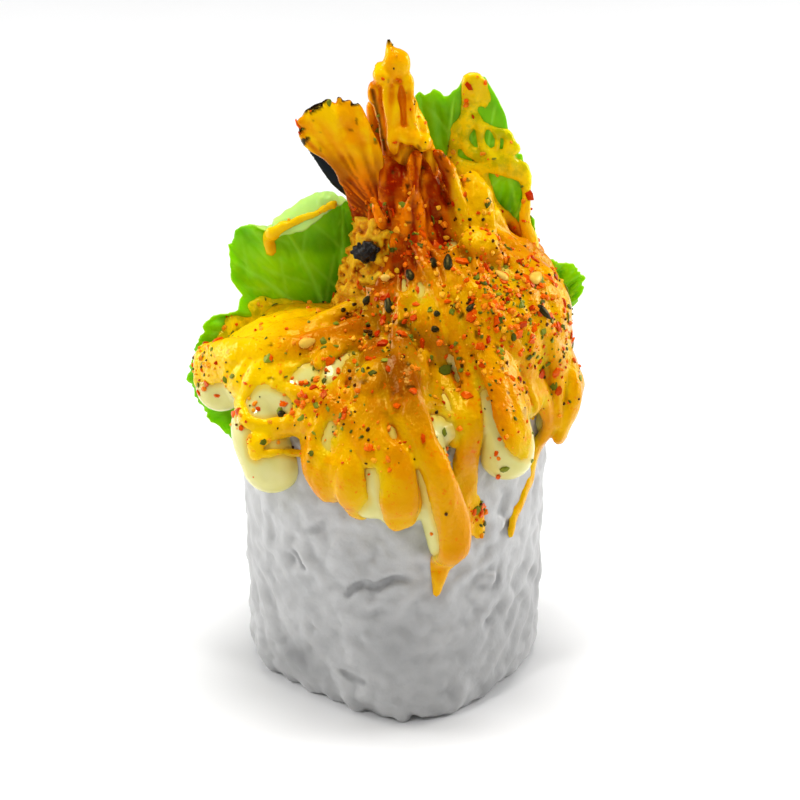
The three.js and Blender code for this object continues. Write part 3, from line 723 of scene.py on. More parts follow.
def sauce_field(mayo):
    under = mayo.like(np.minimum(np.minimum(mayo.values, core_distance(*mayo.whole())), body_distance(mayo)))
    field = mayo.like(under.values)
    near, places = under.near(4)
    field.values[near] -= coat(places).astype(np.float32)
    for stations, radii, *flat in STRANDS.values():
        # The ends of the drips stand out from the rice.
        lifts = [np.interp(h, (30, 40), (0.7, -0.1)) for _, h in stations]
        points = on_skin(under, stations, lifts)
        field.rope(points, radii, blend=1.3 if flat else 0.5, flat=flat[0] if flat else 0.62)
    for start, end, lean in back_drips(5):
        top = 72 if start < 230 else 63
        for shift, r in ((-9, 1.8), (0, 3.2), (9, 2.0)):
            stations = [(start + shift / 3, top), (start + lean / 2 + shift, 60), (start + lean + shift, 54)]
            stations.append((start + lean + shift / 2, end + abs(shift) * 0.6))
            field.rope(on_skin(under, stations, [-0.1] * 4), (0.7 * r, r, r, 0.8 * r), blend=1.4, flat=0.5)
    for line, radii, blend in NECK:
        field.rope(line, radii, blend=blend)
    for stations, radii in COLLAR:
        field.rope(on_skin(field, stations, [0.1] * len(stations)), radii, blend=0.4, flat=0.8)
    field.groove([(7.0, -5.0, 87.4), (7.6, -5.6, 85), (8.6, -6.6, 82.6)], (0.4, 0.6, 0.4))
    return field, under


def fibre(points):
    """Streaks that run down round the joint of the tail, from -1 to 1."""
    a = np.arctan2(points[:, 0] - 2, 0.5 - points[:, 1])
    return noise(down(a, 6, points[:, 2] / 7), 1.2, 41) + 0.4 * noise(points, 1.5, 42)


def sauce_tones(points, field, normals, thickness):
    """The colour attributes of a sauce."""
    x, _, z = points.T
    away = np.linalg.norm((points - (0.5, -2.0, 84.0)) * (1, 1, 0.75), axis=1) + 1.6 * noise(points, 3, 15)
    scorch = (1 - ramp(away, 7.5, 14)) * 0.95 + 0.25 * ramp(noise(points, 5, 9), 0.1, 0.7) * ramp(z, 54, 62)
    scorch *= 1 - 0.9 * ramp(x + 0.6 * noise(points, 2, 17), 8.6, 10.4) * ramp(z, 76, 79)
    cool = ramp(-x, 12, 24) * 0.8 + ramp(x, 22, 29) * 0.25 + 0.6 * ramp(x, 8.6, 10.4) * ramp(z, 78, 82)
    scorch *= 1 - np.clip(cool, 0, 1)
    cool = np.maximum(cool, 0.18 * (1 - ramp(z, 48, 57)))
    centre = np.exp(-(((x - 1) / 11) ** 2) - ((z - 64) / 7) ** 2)
    deep = np.clip(centre * (0.8 + 0.5 * noise(points, 4, 16)), 0, 0.9) + 0.25 * ramp(z, 70, 78)
    # Grooves for deeper colour: pooled sauce and painted shade.
    groove = ramp(field.cavity(points, normals, 0.9), 0.08, 0.6) * 0.8
    # Crests of the strands, for a painted highlight.
    bulge = ramp(1 - field.at(points - normals * 1.1) / -1.1, 0.06, 0.4)
    crest_highlight = bulge * ramp(thickness, 0.2, 0.6) * (0.6 + 0.4 * noise(points, 3, 19)) * 0.9
    speck = ramp(noise(points, 1.1, 12), 0.6, 0.8) * ramp(noise(points, 9, 13), -0.2, 0.3) * ramp(z, 52, 60)
    return {
        "thick": thickness,
        "groove": groove * (1 - cool),
        "scorch": scorch,
        "cool": cool,
        # Lighter on the raised ribs and darker in grooves: painted highlight and shade.
        "streak": ramp(fibre(points) - 0.9 * groove, -0.45, 0.75),
        "deep": deep * (1 - cool),
        "crest_highlight": crest_highlight * (1 - ramp(z, 74, 80)),
        "char": speck * 0.85,
    }


def wrinkles(points):
    """Relief of a sauce in millimetres: ripples that run down, and bubbles."""
    x, y, z = points.T
    ways = down(np.arctan2(x, -y), np.maximum(np.hypot(x, y), 8), z / 3.5)
    bubbles = 0.35 * ramp(noise(points, 1.9, 18), 0.35, 0.9) * ramp(noise(points, 8, 20), -0.1, 0.4)
    return 0.24 * noise(ways, 1.6, 7) + 0.08 * noise(ways, 0.8, 8) + bubbles * ramp(z, 50, 60)


def make_sauce(field, under):
    points, quads, normals = field.like(np.maximum(field.values, -(under.values + 0.4))).mesh()
    outer = under.at(points) > -0.15
    values = sauce_tones(points, field, normals, under.at(points) / 2.0)
    ribs = (0.4 * fibre(points) + 0.15 * noise(points, 0.9, 43)) * ramp(points[:, 2], 74, 80)
    points = raised(points, normals, outer * (wrinkles(points) + ribs))
    return piece("sauce_strands", points, quads, sauce_material(), "orange_sauce", values)


# Sauce on the leaves: [x, z] along each rope, its radius and its depth over its width.
LEAF_SAUCE = [
    ([(12.9, 103.6), (12.8, 101), (12.5, 98.8), (12, 97)], (1.9, 1.9, 1.5, 1), 0.6),
    ([(14.6, 103.2), (15.2, 101), (15, 99.4)], (1, 1.1, 0.7), 0.6),
    ([(12.2, 98), (10.6, 95.6), (10, 93.2), (9.8, 90.8), (9.4, 88)], (0.9, 0.8, 0.9, 1, 1.5), 0.7),
    ([(12.8, 99), (12.6, 96), (11.6, 93.6), (12.4, 91.4)], (1.1, 0.9, 0.8, 1), 0.8),
    ([(13, 98.6), (14.2, 96), (14.4, 93.6), (15.2, 91.8), (17.2, 90.8)], (0.8, 0.8, 0.8, 0.8, 1.1), 0.8),
    ([(14.2, 96.4), (16.2, 95.6), (18.6, 94.4), (20, 92.2)], (0.6, 0.7, 0.8, 0.9), 0.7),
    ([(16.4, 95.4), (17.2, 93.2), (16.6, 91)], (0.7, 0.6, 0.8), 0.8),
    ([(19.2, 93.8), (18.6, 91.6), (19.6, 89.8)], (0.7, 0.7, 1.1), 0.8),
    ([(11.4, 92.2), (13.4, 91.2), (16.4, 90.2), (19.2, 89.2), (21.4, 88.6)], (0.8, 1, 1.3, 1.5, 1.2), 0.6),
    (
        [(10.4, 89), (12.4, 88.6), (14.4, 88.8), (16.6, 88.6), (19.4, 88), (21.8, 87.4)],
        (1.2, 0.9, 0.8, 1, 1.1, 1), 0.7,
    ),
    ([(21.8, 87.6), (22.2, 84), (21.9, 80.6), (22.6, 77), (23.4, 72)], (1, 0.8, 0.9, 1.3, 2), 0.9),
    ([(11.2, 88.4), (12.8, 85.6), (14.4, 83), (16, 79.6)], (1.6, 1.9, 1.8, 2), 0.7),
    ([(14.6, 88), (15.6, 85.6), (16.6, 83), (18, 80)], (0.9, 0.8, 0.8, 1.2), 0.8),
    (
        [(-10.2, 83.9), (-13.2, 82.4), (-15.8, 81.5), (-18.4, 80.3), (-20.2, 79)],
        (0.5, 0.7, 0.8, 0.9, 1), 0.8,
    ),
    ([(-20.2, 79.4), (-21, 77.5), (-20.6, 75.4)], (1.2, 1.1, 0.9), 0.8),
    ([(-28.5, 60.5), (-26.3, 63.2), (-22.5, 64.6), (-18.6, 64.2)], (1.6, 1.9, 2, 2), 0.4),
    ([(-26, 60.5), (-22.3, 62), (-17.5, 61.5)], (1.6, 2, 2), 0.4),
]


def make_leaf_sauce(leaves):
    tree, _, _ = tree_of(leaves)
    field = Field((-36, -14, 50), (34, 16, 110))

    def front(x, z):
        hit = tree.ray_cast(Vector((x, -60, z)), Vector((0, 1, 0)))[0]
        return (hit or tree.find_nearest(Vector((x, 6, z)))[0])[1]

    for stations, radii, flat in LEAF_SAUCE:
        field.sheet([(x, front(x, z) - 0.1, z) for x, z in stations], radii, flat, 0.35)
    points, quads, normals = field.mesh()
    points = raised(points, normals, wrinkles(points) + 0.25 * noise(points, 1.7, 31))
    x, _, z = points.T
    olive = np.clip(0.85 + 0.5 * noise(points, 3, 3), 0.5, 1) * (x > 0) * ramp(z, 82, 90)
    olive *= 1 - 0.6 * ramp(z, 98, 102)
    low = (x < 0) * (z < 68)
    values = {"thick": 0.35 + 0.3 * noise(points, 2.5, 3), "olive": np.maximum(olive, 0.9 * low)}
    return piece("sauce_on_leaves", points, quads, leaf_sauce_material(), "orange_sauce", values)


# ---- Shrimp ----


def make_body():
    rng = np.random.default_rng(8)
    field = Field((-14, -13, -1), (13, 13, 86))
    field.values = np.clip(body_distance(field) + 0.15, -4, 6).astype(np.float32)
    count = 1100
    for i in range(count):
        height = 52 + (BODY_TOP - 52) * (i + 0.5) / count
        angle = i * GOLDEN_ANGLE + rng.normal(0, 12)
        reach = body_radius(height) + rng.uniform(-0.6, 0.4)
        centre = around(angle, reach, height + rng.normal(0, 0.5)) + (-BODY_LEAN, 0, 0)
        field.ball(centre, rng.uniform(0.4, 1.0, 3), blend=0.25)
    field.values = np.maximum(field.values, 0.0 - field.whole()[2]).astype(np.float32)
    points, quads, normals = field.mesh()
    x, y, z = points.T
    flesh = (z < 0.3) * (1 - ramp(np.hypot(x, y), 6.6, 7.4))
    # How deep in a hollow each point lies, with some noise: drives painted shade.
    hollow_shade = ramp(field.cavity(points, normals, 0.8) + 0.15 * noise(points, 2.2, 44), 0.1, 0.95)
    crumbly = (0.3 * noise(points, 1.6, 45) + 0.15 * noise(points, 0.8, 46)) * ramp(z, 56, 60)
    points = raised(points, normals, crumbly)
    values = {"hollow_shade": hollow_shade, "flesh": flesh}
    return piece("shrimp_body", points, quads, crust_material(), "fried_shrimp", values)


# Each lobe of the tail: the ends of its root and of its waist, the tips of its ribs, and their radii.
TAIL_LOBES = [
    (
        [(-5.6, -0.8, 83), (0.5, -1.4, 85)],
        [(-9.3, -1.7, 91.8), (-3.2, -1.6, 95.2)],
        [(-14.0, -2.2, 95.7), (-15.0, -2.3, 97.4), (-15.2, -2.2, 99.6), (-13.9, -2.0, 100.9)]
        + [(-12.3, -1.8, 101.4), (-10.6, -1.6, 102.6), (-8.8, -1.4, 103.2), (-7.3, -1.2, 102.5)]
        + [(-5.8, -1.1, 101.8)],
        (1.3, 0.85, 0.8, 0.62),
    ),
    (
        [(0.0, 0.2, 83), (7.0, 0.2, 83)],
        [(-1.0, 0.7, 95), (5.4, 0.4, 94.6)],
        [(-3.4, 1.0, 104.6), (-2.0, 1.0, 107.6), (0.0, 1.2, 109.6), (1.5, 1.2, 108.0), (2.2, 1.4, 103)],
        (1.6, 1.1, 1.0, 0.95),
    ),
]
# The web between the ribs of each lobe, and the blade behind them: its line, radii, flatness and blend.
TAIL_SHEETS = [
    ([(-2.5, -0.2, 85), (-6.5, -1.0, 93.5), (-11.0, -1.6, 98.2)], (3.0, 3.0, 4.6), 0.26, 0.6),
    ([(3.4, 0.8, 86), (2.0, 1.2, 96), (-0.4, 1.4, 105)], (3.0, 3.0, 2.4), 0.25, 0.4),
]
TELSON = ([(-1, 2.2, 84), (-2, 2.6, 93), (-3.0, 2.4, 100.5)], (3.0, 2.2, 1.3), 0.5, 0.4)
# Lumps of the right lobe: middle and radii.
TAIL_LUMPS = [
    ((0.5, 0.6, 108.4), (2.3, 1.9, 2.6)), ((-1.6, 0.2, 106.4), (2, 1.6, 1.6)),
    ((-3.2, 0.6, 103.6), (1.3, 1.3, 2)), ((2.3, 0.2, 104.2), (1.1, 1.2, 2.8)),
    ((2.8, -1.2, 96.6), (1.9, 1.5, 1.4)), ((4.8, -0.8, 95.6), (1.6, 1.5, 1.5)),
    ((1.4, -1, 97.4), (1.3, 1.2, 1.3)), ((0, -1.2, 95.6), (0.9, 0.9, 2.2)),
]
# Ridges that run down its front.
TAIL_RIDGES = [
    [(-1.2, 0, 106), (-1, -0.5, 102.5), (-0.6, -0.7, 99), (-0.2, -1, 96)],
    [(1.9, 0.2, 106), (2.4, -0.2, 103), (2.7, -0.4, 100), (3, -0.8, 97)],
    [(0.4, 0, 105), (0.2, -0.3, 102), (0.6, -0.3, 99), (1, -0.8, 97)],
]


def make_tail():
    field = Field((-22, -8, 70), (12, 10, 115), voxel=VOXEL * 0.8)
    for *ends, tips, radii in TAIL_LOBES:
        for tip, t in zip(tips, np.linspace(0, 1, len(tips))):
            root, waist = (np.array(a) * (1 - t) + np.array(b) * t for a, b in ends)
            field.rope([root, waist, tip], radii, blend=0.5)
    for sheet in TAIL_SHEETS:
        field.sheet(*sheet)
    for centre, radii in TAIL_LUMPS:
        field.ball(centre, radii, blend=0.35)
    for line in TAIL_RIDGES:
        field.rope(line, (0.8, 1.0, 0.8, 1.0), blend=0.3)
    field.groove([(1.2, -0.4, 104.6), (1.4, -0.7, 101.5), (1.6, -0.9, 98.6)], (0.3, 0.5, 0.4), 0.3)
    field.rope([(-0.6, 1.2, 110.4), (-0.8, 1.2, 112.0)], (0.8, 0.4), blend=0.6)
    field.sheet(*TELSON)
    field.groove([(-3.4, -0.4, 104.2), (-2.2, -0.7, 99.2), (-1.4, -0.9, 94.4)], (0.3, 0.5, 0.4), 0.3)
    points, quads, normals = field.mesh()
    x, y, z = points.T
    fan = np.degrees(np.arctan2(x + 1.5, z - 82))
    rays = np.stack([fan / 3.2, np.hypot(x, z - 82) / 8, y / 3], 1)
    # Stripes that follow the ribs raised below, partly at random: painted highlight along the ribs.
    streak = ramp(noise(rays, 0.8, 11) + 0.5 * noise(points, 3, 12), -0.6, 0.7)
    relief = 0.3 * noise(points, 2.4, 3) + 0.14 * noise(rays, 0.8, 11) + 0.1 * noise(points, 1.2, 4)
    points = raised(points, normals, relief)
    x, y, z = points.T
    # Hollows of the tail, for painted shade.
    hollow_shade = ramp(field.cavity(points, normals, 0.8), 0.05, 0.6)
    behind = ramp(y, 0.9, 2.2) * (1 - ramp(z, 100, 104)) * (np.abs(x + 1.5) < 4)
    scorch = np.maximum(1 - ramp(z + 2 * noise(points, 3, 9), 88, 97), behind * 0.85)
    past = np.full(len(points), -9.0)
    for tip in np.array(TAIL_LOBES[0][2]):
        beyond = (points - tip) @ unit(tip - (-2.5, -1, 85))
        past = np.maximum(past, np.where(np.linalg.norm(points - tip, axis=1) < 1.5, beyond, -9))
    # The slit between the lobes is painted dark: painted shade in the gap; the rest of char is burnt tips
    # and specks.
    slit = 1 - ramp(np.abs(x + 2.4 + (z - 99) * 0.2), 0.1, 0.5)
    char = np.maximum(ramp(past + 0.25 * noise(points, 1.5, 6), 0.15, 0.5), ramp(z, 111.2, 112.2))
    char = np.maximum(char, ramp(noise(points, 1.0, 21), 0.7, 0.85) * 0.6)
    char = np.maximum(char, slit * (z < 104.5) * (z > 94) * 0.8)
    values = {"scorch": scorch, "char": char, "hollow_shade": hollow_shade, "streak": streak}
    return piece("shrimp_tail", points, quads, tail_material(), "fried_shrimp", values)


BURNT_LUMP = (-4.7, -6.4, 78.7)


def make_char():
    """The burnt lump on the crust, left of the tail's joint."""
    field = Field((-13, -14, 70), (3, -1, 86), voxel=VOXEL * 0.6)
    rng = np.random.default_rng(17)
    field.ball(BURNT_LUMP, (1.6, 1.2, 1.3))
    for _ in range(60):
        centre = BURNT_LUMP + unit(rng.normal(0, 1, 3)) * (1.8, 1.0, 1.5) * rng.uniform(0.8, 1.2)
        field.ball(centre, rng.uniform(0.22, 0.6, 3), blend=0.05)
    points, quads, normals = field.mesh()
    points = raised(points, normals, 0.25 * noise(points, 0.6, 3))
    burnt = dark_material("char", (4, 6, 5), (30, 24, 18), 0.8, (0.5, 4, 0.3), 0.25)
    return piece("burnt_lump", points, quads, burnt, "fried_shrimp")


def make_dark_blade():
    field = Field((-22, -4, 76), (4, 8, 102), voxel=VOXEL * 0.7)
    field.sheet([(-3.5, 1.6, 84), (-8.8, 1.2, 89.0), (-13.2, 0.8, 94.4)], (1.8, 2.0, 1.1), 0.35)
    points, quads, _ = field.mesh()
    dark = dark_material("dark_tail", (1, 8, 12), (6, 22, 28), 2, (0.8, 3, 0.1), 0.12)
    return piece("tail_blade_dark", points, quads, dark, "fried_shrimp")


# ---- Lettuce ----

# A leaf: its foot, its turn about the upright, the direction and reach of its rim, those of its
# ribs, its grid, the depth of its ruffle, its lean back, and the middle and half width of the part
# of the rim that folds over.
Leaf = namedtuple("Leaf", "foot turn rim ribs cells wave lean curl", defaults=(1, None))
LEFT_RIM = [(84, 26), (90, 28), (94, 30.5), (99, 34.3), (106, 35.5), (114, 34), (121, 30.8), (131, 30)]
LEFT_RIM += [(140, 27.5), (150, 22.5), (162, 27), (178, 28.5), (193, 28.5), (213, 26)]
RIGHT_RIM = [(52, 24), (62, 28), (67, 32.5), (72, 36.8), (76.5, 40), (79, 44), (83.5, 48.4)]
RIGHT_RIM += [(87, 48.6), (90, 46.2), (94, 45.8), (98, 45.6)]
SIDE_RIM = [(10, 15), (22, 17.5), (33, 22), (43, 22), (55, 20), (68, 19)]
BACK_RIM = [(40, 19), (60, 24), (80, 22), (100, 27), (120, 22), (140, 19)]
LEAVES = {
    "lettuce_left": Leaf((-7, 7, 55), 12, LEFT_RIM, (96, 118, 138, 163, 186), (220, 90), 1.5, 1, (108, 19)),
    "lettuce_right": Leaf((10, 8, 56), -8, RIGHT_RIM, (68, 80, 90), (140, 100), 1.2),
    "lettuce_side": Leaf((14, 8, 57), -8, SIDE_RIM, (30, 46), (100, 60), 1),
    "lettuce_back": Leaf((2, 13, 54), 180, BACK_RIM, (60, 90, 120), (140, 70), 1.6, -3),
}
LEAF_THICKNESS = 0.7
FOLD_WIDTH = 7.0
FOLD_RADIUS = 1.5
FOLD_TURN = 2.4  # in radians


def leaf_surface(leaf, u, v):
    """Points of a leaf's middle at shares u round its rim and v out from its foot."""
    rim = smooth_line([(d, r, 0) for d, r in leaf.rim], 12)
    place = u * (len(rim) - 1)
    direction, reach = (np.interp(place, np.arange(len(rim)), rim[:, k]) for k in (0, 1))
    edge = np.stack([direction / 5, reach * 0, reach * 0], 1)
    middle, half = leaf.curl or (0, 1)
    near = np.clip(1 - ((direction - middle) / half) ** 2, 0, 1)
    reach = reach * (1 + (0.018 * noise(edge, 0.5, 2) + 0.012 * noise(edge, 0.2, 3)) * (1 - 0.8 * near))
    out = 0.08 + 0.92 * v
    fine = np.stack([direction / 9, out * 3, out * 0], 1)
    ruffle = leaf.wave * out**2 * np.sin(0.105 * direction + 3.2 * out)
    ruffle += 1.1 * out**3 * noise(fine, 0.55, 5) + 0.35 * noise(fine, 0.22, 6) * out
    depth = ruffle + leaf.lean * out**2
    length = reach * out
    if leaf.curl:
        past = np.clip(length - (reach - FOLD_WIDTH * near), 0, None)
        turn = np.clip(past / FOLD_RADIUS, 0, FOLD_TURN)
        rest = past - turn * FOLD_RADIUS
        length = length - past + FOLD_RADIUS * np.sin(turn) + rest * np.cos(turn)
        depth = depth * (1 - 0.85 * near) + FOLD_RADIUS * (1 - np.cos(turn)) + rest * np.sin(turn)
    x, z = length * heading(direction).T
    t = math.radians(leaf.turn)
    places = np.stack([x * math.cos(t) + depth * math.sin(t), x * math.sin(t) - depth * math.cos(t), z], 1)
    return places + np.array(leaf.foot, float), direction, out, reach


def heading(degrees):
    """Unit vectors in a leaf's plane."""
    return np.stack([np.cos(np.radians(degrees)), np.sin(np.radians(degrees))], -1)


def veins(leaf, direction, out, reach):
    """How much each point lies on a vein, from 0 to 1."""
    flat = (reach * out)[:, None] * heading(direction)
    strength = np.zeros(len(flat))
    for k, rib in enumerate(leaf.ribs):
        along = heading(rib)
        t = flat @ along
        off = flat @ heading(rib + 90) - 0.8 * np.sin(t / 6 + k)
        strength = np.maximum(strength, np.exp(-((off / np.clip(0.75 - 0.02 * t, 0.2, 1)) ** 2)) * (t > 0))
        for j, start in enumerate(np.arange(6, 40, 4.5)):
            branch = heading(rib + (38 if (j + k) % 2 else -38))
            q = flat - along * start
            off = np.linalg.norm(q - np.clip(q @ branch, 0, 9)[:, None] * branch, axis=1)
            strength = np.maximum(strength, 0.6 * np.exp(-((off / 0.32) ** 2)))
    return strength * ramp(reach * (1 - out), 0.3, 3)


def make_leaf(node, leaf, under, material):
    columns, rows = (n for n in leaf.cells)
    v, u = np.meshgrid(np.linspace(0, 1, rows + 1), np.linspace(0, 1, columns + 1), indexing="ij")
    u, v = u.ravel(), v.ravel()
    middle, direction, out, reach = leaf_surface(leaf, u, v)

    def moved(du, dv):
        return leaf_surface(leaf, np.clip(u + du, 0, 1), np.clip(v + dv, 0, 1))[0]

    e = 1e-3
    normal = unit(np.cross(moved(e, 0) - moved(-e, 0), moved(0, e) - moved(0, -e)))
    if normal[:, 1].mean() > 0:
        normal = -normal
    vein = veins(leaf, direction, out, reach)
    thin = LEAF_THICKNESS / 2 * (0.35 + 0.65 * ramp(reach * (1 - out), 0, 2))
    faces = (raised(middle, normal, by) for by in (thin - 0.12 * vein, -thin - 0.28 * vein))
    points = np.vstack([*faces])
    width = columns + 1
    count = width * (rows + 1)
    a = (np.arange(rows)[:, None] * width + np.arange(columns)[None, :]).ravel()
    sheet = np.stack([a, a + 1, a + width + 1, a + width], 1)
    across, up = np.arange(columns), width * np.arange(rows)
    rim = np.concatenate([across, columns + up, columns + width * rows - across, width * rows - up])
    after = np.roll(rim, -1)
    corner = points[sheet[0]]
    if np.cross(corner[2] - corner[0], corner[3] - corner[1]) @ normal[0] < 0:
        sheet = sheet[:, ::-1]
        rim, after = after, rim
    walls = np.stack([after, rim, rim + count, after + count], 1)
    quads = np.vstack([sheet, sheet[:, ::-1] + count, walls])
    # What lies deep under the toppings is left off.
    hidden = under.at(points) < -1.5
    quads = quads[~hidden[quads].all(1)]
    used = np.unique(quads)
    index = np.full(len(points), -1)
    index[used] = np.arange(len(used))
    pale = np.repeat((0, 0.65), count)
    shade = np.tile((1 - ramp(out, 0.1, 0.5)) * 0.75, 2)
    values = {"vein": np.tile(vein, 2)[used] * 0.8, "pale": pale[used], "shade": shade[used]}
    name = node.replace("lettuce", "leaf")
    return piece(name, points[used], index[quads], material, node, values, "lettuce")


# ---- Sprinkles ----


def flake(rng, length, width, thin):
    """An irregular flat flake: points and triangles."""
    n = int(rng.integers(5, 8))
    a = np.linspace(0, 2 * math.pi, n, endpoint=False) + rng.uniform(-0.3, 0.3, n)
    r = rng.uniform(0.62, 1.0, n)
    flat = np.stack([np.cos(a) * r * length / 2, np.sin(a) * r * width / 2], 1)
    bow = rng.uniform(0, 0.2) * length * ((flat[:, 0] / (length / 2)) ** 2)
    low = np.column_stack([flat, -bow - thin / 2])
    high = np.column_stack([flat * 0.9, -bow + thin / 2])
    points = np.vstack([low, high, [[0, 0, -thin / 2]], [[0, 0, thin / 2 + 0.05]]])
    faces = []
    for k in range(n):
        j = (k + 1) % n
        faces += [(k, j, n + j), (k, n + j, n + k), (2 * n, j, k), (2 * n + 1, n + k, n + j)]
    return points, np.array(faces)


def grain(rng, length, width, thick, rings=7, sides=10, rough=0.0):
    """A teardrop seed, or a rough crumb."""
    t = np.linspace(0, math.pi, rings + 1)[1:-1]
    r = (np.sin(t) * (1 + 0.28 * np.cos(t)))[:, None]
    a = np.linspace(0, 2 * math.pi, sides, endpoint=False)
    x = np.repeat(-np.cos(t) * length / 2, sides)
    ring = np.stack([x, (r * np.cos(a)).ravel() * width / 2, (r * np.sin(a)).ravel() * thick / 2], 1)
    points = np.vstack([ring, [[-length / 2, 0, 0]], [[length / 2, 0, 0]]])
    points = points * (1 + rough * rng.uniform(-1, 1, (len(points), 1)))
    foot, tip, last = len(ring), len(ring) + 1, len(ring) - sides
    faces = []
    for p in range(last):
        q = p - p % sides + (p + 1) % sides
        faces += [(p, p + sides, q + sides), (p, q + sides, q)]
    for j in range(sides):
        q = (j + 1) % sides
        faces += [(foot, j, q), (tip, last + q, last + j)]
    return points, np.array(faces)[:, ::-1]


class Scatter:
    """Collects small pieces of one kind and lays them on a surface."""

    def __init__(self, rng):
        self.rng = rng
        self.points, self.faces, self.tones = [], [], []
        self.count = 0

    def lay(self, shape, place, normal, spin, lift, tone, tip=0.25):
        points, faces = shape
        n = unit(normal + self.rng.normal(0, tip, 3))
        side = unit(np.cross((0, 0, 1) if abs(n[2]) < 0.9 else (0, 1, 0), n))
        x = math.cos(spin) * side + math.sin(spin) * np.cross(n, side)
        world = points[:, :1] * x + points[:, 1:2] * np.cross(n, x) + points[:, 2:] * n + place + n * lift
        self.points.append(world)
        self.faces.append(faces + self.count)
        self.tones.append(np.full(len(points), tone))
        self.count += len(points)

    def finish(self, name, low, high, roughness, slot, smooth=False):
        points, faces = np.vstack(self.points), np.vstack(self.faces)
        material = bit_material(name, low, high, roughness)
        tones = {"tone": np.concatenate(self.tones)}
        return piece(name, points, faces, material, "orange_sauce", tones, slot, smooth)


# Where sprinkles lie thickest: angle, height, radius in millimetres and weight.
CLUSTERS = [
    (52, 74, 6, 4), (58, 72, 7, 3.5), (52, 78, 4, 3), (68, 62, 6, 2.5), (37, 65, 4, 2.5), (-32, 59, 3.5, 3),
    (-76, 59, 3.5, 4), (36, 38, 2.5, 12), (-7, 55, 3, 3), (-20, 57, 3.5, 2), (5, 66, 6, 1.5),
    (-20, 71, 4, 2), (20, 81, 5, 1.5),
]


def sprinkle_weight(under, places, normals):
    z = places[:, 2]
    outside = (under.at(places) > -0.1) | (z > 87)
    facing = np.clip(normals[:, 2] + 0.6, 0, 1) + 0.25 * (normals[:, 1] < 0)
    total = facing * (ramp(z, 42, 60) + 0.08) * np.clip(0.35 + 0.9 * noise(places, 6, 21), 0.05, 1.3)
    for angle, height, radius, extra in CLUSTERS:
        spot = around(angle, skin(under, angle, height) + 0.8, height)
        total += extra * facing * np.exp(-(((places - spot) ** 2).sum(1)) / radius**2)
    return outside * total


# Pieces that stand out: angle, height, length, width in millimetres and spin in degrees.
BLACK_SEEDS = [
    (42, 74.7, 3.2, 1.5, 80), (65, 62.9, 3.4, 1.3, -60), (-5, 68.3, 3.2, 1.3, 100),
    (-29, 68.4, 1.7, 1.2, 70), (16, 73.2, 2.2, 1.4, 130), (36, 74.8, 2.2, 1.6, 40), (22, 64.6, 1.4, 1.1, 0),
    (25, 67, 1.1, 1, 0), (39, 67.3, 2, 1, 30), (-41, 48.9, 1.6, 1.3, 30), (150, 66, 3.1, 1.7, 30),
    (200, 62, 3.2, 1.7, 80), (118, 69, 3.2, 1.6, 10), (235, 64, 3, 1.6, 140),
]
WHITE_SEEDS = [
    (71, 68.2, 3.3, 2.1, 10), (60, 70.5, 2.6, 1.6, 80), (-42, 60.9, 3, 1.7, 5), (-9, 72.8, 2, 1.4, 30),
    (170, 68, 3.1, 1.9, 50), (120, 63, 3, 1.9, 20),
]
CHILLI_CHIPS = [
    (37, 65.8, 3, 2.3, 0), (68, 61.7, 2.8, 1.1, 0), (71, 58.7, 3.4, 1.4, 90), (78, 61.9, 2.6, 0.9, 60),
    (-7, 61.9, 3.4, 1.8, 30), (5, 63.8, 3, 1, -40), (16, 62.1, 3.2, 0.9, 95), (37, 60.9, 2.2, 1.8, 0),
    (-41, 50.6, 1.9, 1.2, 20), (-17, 51.9, 1.8, 1, 60), (9, 48, 2.2, 1.2, 100), (1, 53.1, 1.6, 1.3, 0),
    (52, 74.1, 2.8, 1.8, 0), (58, 72.5, 2.6, 1.6, 60), (36, 38.5, 2.2, 1.2, 70),
]
HERB_CHIPS = [
    (25, 57.4, 3.3, 2.6, 20), (-51, 57.1, 2.8, 1.9, 0), (80, 81.8, 2.2, 1.4, 60), (36, 40, 2.4, 1.5, 20),
    (-9, 58, 1.8, 1.2, 30), (50, 61, 2, 1.1, 80), (95, 51, 4.2, 1.8, 60),
]
# Burnt dots along a streak: angle and height.
DOT_TRAIL = [(-61, 66.4), (-48, 65.9), (-34, 65.4), (-27, 64.2), (-20, 63.2), (-17, 62.6), (-14, 62.1)]
DOT_TRAIL += [(-30, 57.7), (-17, 57.2)]


